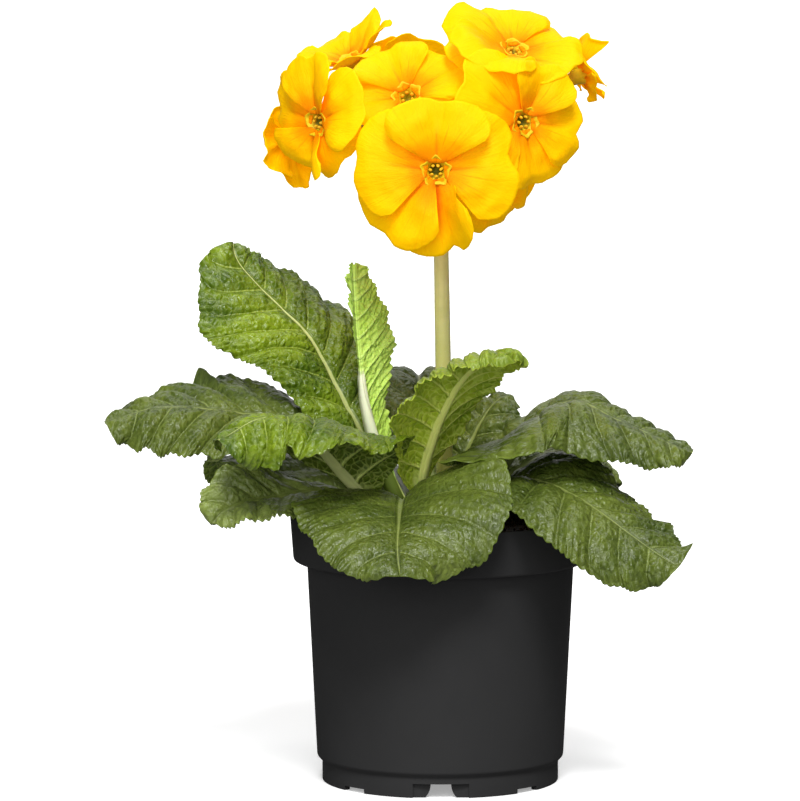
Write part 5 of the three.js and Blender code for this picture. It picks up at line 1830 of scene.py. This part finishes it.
    def knob(self) -> Skin:
        """Builds the swelling from which the pedicels spring.

        Returns:
            The closed skin.
        """
        polar = np.linspace(0.08, np.pi - 0.08, self.KNOB_ROWS)[::-1]
        angle, size = turns(self.KNOB_SIDES), self.knob_radius
        rings = [circled(size * np.sin(p), angle, size * np.cos(p)) for p in polar]
        return turned_skin(np.array(rings) + np.array(self.umbel), {"tip": 0.3})

    def build(self, finishes: Finishes) -> list[Piece]:
        """Makes the stalk and the fine down on it.

        Args:
            finishes: Materials by name.

        Returns:
            The stalk and its down.
        """
        parts = [self.scape(), self.knob()] + [self.bract(k) for k in range(self.bracts)]
        for bloom in self.heads:
            parts += [self.pedicel(bloom), self.calyx(bloom)]
        stalk = piece_from("flower_stalk_fine", merged_skins(parts), [finishes["stem"]])
        hairs = standing_tree("stalk_down", finishes["down"], True)
        sizes = {"Density": 420000.0, "Length": 0.0007, "Radius": 0.00004, "Lean": 0.5, "Seed": 11}
        down = hairs.made("stalk_down", stalk, **sizes)
        return [tied(stalk, "flower_stalk"), tied(down)]


@dataclass
class YoungBuds:
    """The second umbel, still closed, low among the leaves."""

    foot: Place = (-4.5, -1, 89.95)
    head: Place = (-13, -0.5, 118)
    stem_radius: float = 1.25
    bud_length: float = 11.0
    bud_radius: float = 2.1
    count: int = 4

    STEM_ROWS, STEM_SIDES = 20, 18
    BUD_ROWS, BUD_SIDES = 26, 30

    def bud(self, index: int) -> Skin:
        """Builds one ribbed bud with a coloured tip.

        Args:
            index: Which bud; the first stands nearly upright.

        Returns:
            The closed skin.
        """
        angle = 2 * np.pi * index / self.count
        lean = 0.1 if index == 0 else 0.42
        direction = unit(np.array([lean * math.cos(angle), lean * math.sin(angle), 1.0]))
        t = np.linspace(0.0, 1.0, self.BUD_ROWS)[:, None]
        turn = turns(self.BUD_SIDES)[None]
        radius = along_list([0.7, 1.6, self.bud_radius, 1.9, 1.3, 0.35], t)
        ribbed = 1 - 0.14 * (0.5 + 0.5 * np.cos(5 * turn + 0.6 * t)) * np.sin(np.pi * np.minimum(1, t * 1.1))
        rings = circled(radius * ribbed, turn + 0 * t, t * self.bud_length) @ axes_facing(direction)
        return turned_skin(np.array(self.head) - direction * 2 + rings, {"tip": smooth(t, 0.62, 0.8)})

    def build(self, finishes: Finishes) -> Piece:
        """Makes the buds and ties them to their solid.

        Args:
            finishes: Materials by name.

        Returns:
            The buds' object.
        """
        t = np.linspace(0, 1, self.STEM_ROWS)[:, None]
        line = np.array(self.foot) * (1 - t) + np.array(self.head) * t
        rings = tube_rings(line, np.full(self.STEM_ROWS, self.stem_radius), self.STEM_SIDES)
        stem = turned_skin(rings, {"tip": 0.0})
        whole = merged_skins([stem] + [self.bud(k) for k in range(self.count)])
        return tied(piece_from("young_buds_fine", whole, [finishes["bud"]]), "young_buds")


@dataclass
class Crown:
    """The short, fibrous rootstock under the leaves."""

    centre: tuple[float, float] = (-4.4, 0)
    radii: tuple[float, float] = (17, 10.8)
    foot: float = 70.0
    top: float = 89.1
    sides: int = 96

    LEVELS = (
        (0.0, 0.8), (0.3, 0.97), (0.6, 0.98), (0.85, 0.98),
        (0.93, 0.95), (0.98, 0.86), (1.0, 0.6), (1.0, 0.3),
    )

    def build(self, finishes: Finishes) -> Piece:
        """Makes the crown and ties it to its solid.

        Args:
            finishes: Materials by name.

        Returns:
            The crown's object.
        """
        angle = turns(self.sides)
        rings = []
        for share, size in self.LEVELS:
            rough = size * (1 - 0.05 * (1 + ripple(angle * 9, 0 * angle + share * 5, 4.0)) / 2)
            x = self.centre[0] + self.radii[0] * rough * np.cos(angle)
            y = self.centre[1] + self.radii[1] * rough * np.sin(angle)
            rings.append(np.stack([x, y, np.full(self.sides, mix(self.foot, self.top, share))], -1))
        skin = turned_skin(np.array(rings), {"tip": column([share for share, _ in self.LEVELS])})
        return tied(piece_from("crown_fine", skin, [finishes["crown"]]), "crown")


# The pot and the compost

@dataclass
class NurseryPot:
    """The moulded pot: a wide rim, a tapered body and a foot ring with cut-outs and drain holes."""

    rim_top: float = 52.5
    rim_foot: float = 51.6
    rim_height: float = 16.0
    height: float = 93.5
    body_top: float = 46.6
    body_foot: float = 43.1
    foot_radius: float = 41.3
    foot_height: float = 7.0
    foot_ledge: float = 1.8
    foot_wall: float = 2.6
    wall: float = 1.3
    floor_underside: float = 5.4
    sides: int = 192
    deep_azimuths: tuple[float, ...] = (-90, 90)
    shallow_azimuths: tuple[float, ...] = (-137, -43, 43, 137)
    drain_holes: int = 6
    drain_circle: float = 30
    drain_radius: float = 3

    DEEP_CUT = ((-9.7, -1), (9.7, -1), (9.7, 5), (-9.7, 5))
    SHALLOW_CUT = ((-5, -1), (5, -1), (5, 1.6), (-5, 1.6))
    ARCH = ((6.75, -1), (3.5, 1), (3.5, 5))
    ARCH_STEPS = 9
    CORNER_STEPS = 5
    DRAIN_CUT = (3.0, 9.0)
    DRAIN_SIDES = 32
    SHARP = 34

    def profile(self) -> Array:
        """Draws the pot's section with its corners eased.

        Returns:
            Radii and heights, from inside the foot ring out, up over the rim and back down to the floor.
        """
        rim_low = self.height - self.rim_height
        corners = [
            (self.foot_radius - self.foot_wall, self.floor_underside, 0.5),
            (self.foot_radius - self.foot_wall, 0.0, 0.35),
            (self.foot_radius, 0.0, 0.45),
            (self.foot_radius, self.foot_height, 0.5),
            (self.body_foot, self.foot_height + self.foot_ledge, 0.7),
            (self.body_top, rim_low, 0.4),
            (self.rim_foot - 0.3, rim_low, 1.3),
            (self.rim_top, self.height, 0.35),
            (self.rim_top - self.wall - 0.2, self.height, 0.35),
            (self.rim_foot - self.wall - 0.3, rim_low + self.wall, 0.5),
            (self.body_top - self.wall, rim_low + self.wall, 0.4),
            (self.body_foot - self.wall, self.foot_height + self.foot_ledge, 0.5),
            (self.foot_radius - self.wall, self.floor_underside + self.wall, 0.5),
        ]
        middle = [(0.0, self.floor_underside, 0.0), (0.0, self.floor_underside + self.wall, 0.0)]
        ends = np.array([middle[0], *corners, middle[1]])
        t = np.linspace(0, 1, self.CORNER_STEPS)[:, None]
        points = []
        for (*before, _), (*corner, radius), (*after, _) in zip(ends, ends[1:], ends[2:]):
            before, corner, after = np.array(before), np.array(corner), np.array(after)
            start, end = corner + unit(before - corner) * radius, corner + unit(after - corner) * radius
            points.append(rounded(start, corner, end, t))
        return np.concatenate(points)

    def shell(self) -> Skin:
        """Turns the section round the pot's axis."""
        angle = turns(self.sides)
        return turned_skin(np.array([circled(radius, angle, height) for radius, height in self.profile()]))

    def cutter(self, outline: Sequence, azimuths: Sequence[float], start: float, depth: float) -> Skin:
        """Builds upright-sided cutters that reach through the foot ring.

        Args:
            outline: The cut's outline, as distances sideways and up.
            azimuths: Where the cuts are, in degrees.
            start: The radius at which they begin.
            depth: How far out they reach.

        Returns:
            All of them as one skin.
        """
        skins, count = [], len(outline)
        for azimuth in azimuths:
            a = math.radians(azimuth)
            out, side = np.array([math.cos(a), math.sin(a), 0]), np.array([-math.sin(a), math.cos(a), 0])
            ring = [side * x + np.array([0, 0, z]) for x, z in outline]
            near, far = [p + out * start for p in ring], [p + out * (start + depth) for p in ring]
            faces: list = [tuple(reversed(range(count))), tuple(range(count, 2 * count))]
            faces += [(k, (k + 1) % count, count + (k + 1) % count, count + k) for k in range(count)]
            skins.append(Skin(np.array(near + far), faces))
        return merged_skins(skins)

    def holes(self) -> Skin:
        """Builds the cutters for the drain holes.

        Returns:
            All of them as one skin.
        """
        angle, skins = turns(self.DRAIN_SIDES), []
        for a in turns(self.drain_holes) + np.pi / self.drain_holes:
            middle = self.drain_circle * np.array([math.cos(a), math.sin(a), 0])
            ring = middle + circled(self.drain_radius, angle, 0)
            skins.append(turned_skin(np.array([ring + [0, 0, height] for height in self.DRAIN_CUT])))
        return merged_skins(skins)

    def build(self, finishes: Finishes) -> Piece:
        """Makes the pot, cuts its foot and floor, and ties it to its solid.

        Args:
            finishes: Materials by name.

        Returns:
            The pot's object.
        """
        pot = piece_from("pot_moulding", self.shell(), [finishes["pot_plastic"]])
        side = rounded(*np.array(self.ARCH, float), np.linspace(0, 1, self.ARCH_STEPS)[:, None])
        arch = [*side, *(side[::-1] * [-1, 1])]
        cutters = [
            self.cutter(self.DEEP_CUT, self.deep_azimuths, self.foot_radius - 2.4, 6),
            self.cutter(arch, self.deep_azimuths, self.foot_radius - 8, 12),
            self.cutter(self.SHALLOW_CUT, self.shallow_azimuths, self.foot_radius - 6, 10),
            self.holes(),
        ]
        for index, skin in enumerate(cutters):
            tool = piece_from(f"cutter_{index}", skin)
            modifier = pot.modifiers.new("cut", "BOOLEAN")
            modifier.operation, modifier.solver, modifier.object = "DIFFERENCE", "EXACT", tool
            mesh = applied(pot)
            pot.modifiers.remove(modifier)
            pot.data = mesh
            bpy.data.objects.remove(tool)
        shade_smooth(pot.data)
        pot.data.set_sharp_from_angle(angle=math.radians(self.SHARP))
        return tied(pot, "pot")


@dataclass
class Compost:
    """The peat filling: a lumpy top with loose crumbs, and a plain side and underside that the pot hides."""

    level: float = 87.0
    crown_level: float = 87.6
    lumps: float = 0.8
    sides: int = 150
    top_radius: float = 49.4
    crumb_field: tuple[float, float] = (47.6, 14.0)

    WALLS = ((39.6, 7.1), (41.4, 9.5), (44.8, 78.4), (48.9, 79.4), (49.5, 86.4))
    TOP_ROWS = 45
    LUMPS = ((1.0, 3.1, 1.0), (0.6, 1.5, 2.0), (0.3, 0.8, 3.0))
    FIELD_SIDES = 48

    def filling(self) -> Skin:
        """Builds the closed filling.

        Returns:
            The skin, from its underside up and in over its top.
        """
        angle = turns(self.sides)
        rings = [circled(radius, angle, height) for radius, height in self.WALLS]
        for share in np.linspace(0, 1, self.TOP_ROWS, endpoint=False):
            radius = mix(self.top_radius, 1.0, share)
            x, y = radius * np.cos(angle), radius * np.sin(angle)
            rough = 0
            for weight, cell, seed in self.LUMPS:
                rough = rough + weight * ripple(x / cell, y / cell, seed)
            level = mix(self.level, self.crown_level, share)
            rings.append(circled(radius, angle, level + self.lumps * 0.5 * rough * min(1.0, 0.3 + share * 8)))
        return turned_skin(np.array(rings))

    def build(self, finishes: Finishes) -> list[Piece]:
        """Makes the filling and its loose crumbs.

        Args:
            finishes: Materials by name.

        Returns:
            The filling and the crumbs.
        """
        filling = piece_from("compost", self.filling(), [finishes["compost"]])
        angle = turns(self.FIELD_SIDES)
        rings = np.concatenate([circled(radius, angle, self.level + 0.1) for radius in self.crumb_field])
        field_faces = grid_faces(2, self.FIELD_SIDES, flip=True, closed=True)
        carrier = piece_from("crumb_field", Skin(rings, field_faces))
        strewn = crumb_tree(finishes["crumbs"])
        crumbs = strewn.made("compost_crumbs", carrier, Density=160000.0, Crumb_Size=0.00105, Seed=7)
        bpy.data.objects.remove(carrier)
        return [tied(filling, "soil"), tied(crumbs)]


# Anthers, studio and camera

def build_anthers(heads: list[Bloom], finishes: Finishes) -> Piece:
    """Stands a ring of anthers in each throat.

    Args:
        heads: The blooms.
        finishes: Materials by name.

    Returns:
        All the anthers as one piece.
    """
    places, facings = (np.concatenate(part) for part in zip(*(bloom.anther_places() for bloom in heads)))
    carrier = piece_from("anther_places", Skin(places, []))
    layer = carrier.data.attributes.new("facing", "FLOAT_VECTOR", "POINT")
    layer.data.foreach_set("vector", facings.astype(np.float32).ravel())
    rings = standing_tree("anther_rings", finishes["anther"], False)
    piece = rings.made("anthers", carrier, Radius=0.00066, Lean=0.2, Seed=5)
    bpy.data.objects.remove(carrier)
    return tied(piece)


@dataclass(frozen=True)
class SoftSun:
    """A distant soft lamp: where it stands as seen from the plant, its width in degrees and its strength."""

    name: str
    azimuth: float
    elevation: float
    width: float
    strength: float


@dataclass
class Studio:
    """A pale floor, an even surround, soft distant lamps and the camera."""

    camera_place: Place = (0.0007, -2.2, 0.388)
    camera_pitch: float = 6.605
    lens: float = 285.8
    sensor: float = 36.0
    surround: float = 0.12
    floor_size: float = 9
    floor_tone: float = 0.9
    floor_glow: float = 0.35
    near_bounce: float = 0.3
    far_bounce: float = 0.05
    bounce_ends: tuple[float, float] = (0.2, 0.5)
    lamps: tuple[SoftSun, ...] = (
        SoftSun("key", 2, 50, 18, 2.5),
        SoftSun("top", 150, 76, 40, 1.0),
        SoftSun("fill", -40, 20, 40, 0.35),
        SoftSun("front", -5, 15, 60, 1.9),
        SoftSun("back", 176, 32, 60, 0.65),
    )

    WHITE, BLACK = (1, 1, 1), (0, 0, 0)

    def light(self, lamp: SoftSun) -> None:
        """Adds one lamp, turned towards the plant.

        Args:
            lamp: Where it stands and how it shines.
        """
        light = bpy.data.lights.new(lamp.name, "SUN")
        light.angle, light.energy = math.radians(lamp.width), lamp.strength
        source = Vector(compass(lamp.azimuth, lamp.elevation))
        body = linked(lamp.name, light)
        body.location = source * 2
        body.rotation_euler = (-source).to_track_quat("-Z", "Y").to_euler()

    def surroundings(self) -> bpy.types.World:
        """Makes a surround that is white to look at and dimmer as a light.

        Returns:
            The world.
        """
        world = bpy.data.worlds.new("surround")
        world.use_nodes = True
        world.node_tree.nodes.clear()
        n = Nodes(world.node_tree)
        lit, seen = (
            n.add("ShaderNodeBackground", {"Color": self.WHITE, "Strength": strength}).outputs[0]
            for strength in (self.surround, 1.0)
        )
        camera_ray = n.add("ShaderNodeLightPath").outputs["Is Camera Ray"]
        choice = n.add("ShaderNodeMixShader", {0: camera_ray, 1: lit, 2: seen})
        n.add("ShaderNodeOutputWorld", {"Surface": choice.outputs[0]})
        return world

    def floor(self) -> Piece:
        """Makes the floor: white to look at, and dim where its light would fall back on the plant.

        Returns:
            The floor's object.
        """
        far = self.floor_size
        mesh = bpy.data.meshes.new("floor")
        mesh.from_pydata([(-far, -far, 0), (far, -far, 0), (far, far, 0), (-far, far, 0)], [], [(0, 1, 2, 3)])
        paint, n, shader = new_finish("floor_white")
        seen = n.add("ShaderNodeLightPath").outputs["Is Camera Ray"]
        reach = n.add("ShaderNodeVectorMath", {0: n.object_place()}, operation="LENGTH").outputs["Value"]
        far_share = n.step(reach, *self.bounce_ends)
        bounce = n.blend(far_share, (self.near_bounce,) * 3, (self.far_bounce,) * 3)
        n.feed_all(shader.inputs, {
            "Base Color": n.blend(seen, bounce, (self.floor_tone,) * 3),
            "Emission Color": n.blend(seen, self.BLACK, self.WHITE), "Emission Strength": self.floor_glow,
            "Roughness": 0.8, "Specular IOR Level": 0.2,
        })
        mesh.materials.append(paint)
        return linked("floor", mesh)

    def build(self) -> None:
        """Makes the floor, the world, the lamps and the camera."""
        scene = bpy.context.scene
        scene.view_settings.view_transform = "Standard"
        self.floor()
        scene.world = self.surroundings()
        for lamp in self.lamps:
            self.light(lamp)
        camera = bpy.data.cameras.new("camera")
        camera.lens, camera.sensor_width, camera.clip_end = self.lens, self.sensor, 50.0
        view = linked("camera", camera)
        view.location = self.camera_place
        view.rotation_euler = (math.radians(90 - self.camera_pitch), 0, 0)
        scene.camera = view


def all_finishes() -> Finishes:
    """Builds every material once and returns them by name."""
    groups = Groups()
    made = [
        OLD_LEAF, LIGHTENED_OLD_LEAF, MID_LEAF, CUPPED_LEAF, YOUNG_LEAF, PetalFinish(), EYE_FINISH, ANTHER_FINISH,
        STALK_FINISH, DOWN_FINISH, BUD_FINISH, CROWN_FINISH, PotFinish(), CompostFinish("compost"),
        CompostFinish("crumbs", (0.02, 0.008, 0.005), (0.1, 0.034, 0.02), (0.2, 0.09, 0.05)),
    ]
    return {finish.name: finish.material(groups) for finish in made}


def main() -> None:
    """Builds the plant, the pot and the studio."""
    logging.basicConfig(level=logging.INFO, format="%(name)s: %(message)s")
    finishes, heads = all_finishes(), blooms()
    built: list[Piece] = [NurseryPot().build(finishes)]
    built += Compost().build(finishes)
    built.append(Crown().build(finishes))
    built += [leaf.build(finishes) for leaf in leaves()]
    built += FlowerStalk(heads).build(finishes)
    built += [bloom.build(finishes) for bloom in heads]
    built.append(build_anthers(heads, finishes))
    built.append(YoungBuds().build(finishes))
    Studio().build()
    total = 0
    for piece in built:
        piece.data.calc_loop_triangles()
        count = len(piece.data.loop_triangles)
        total += count
        log.info("%s: %d triangles", piece.name, count)
    log.info("%d pieces, %d triangles", len(built), total)


if __name__ == "__main__":
    main()
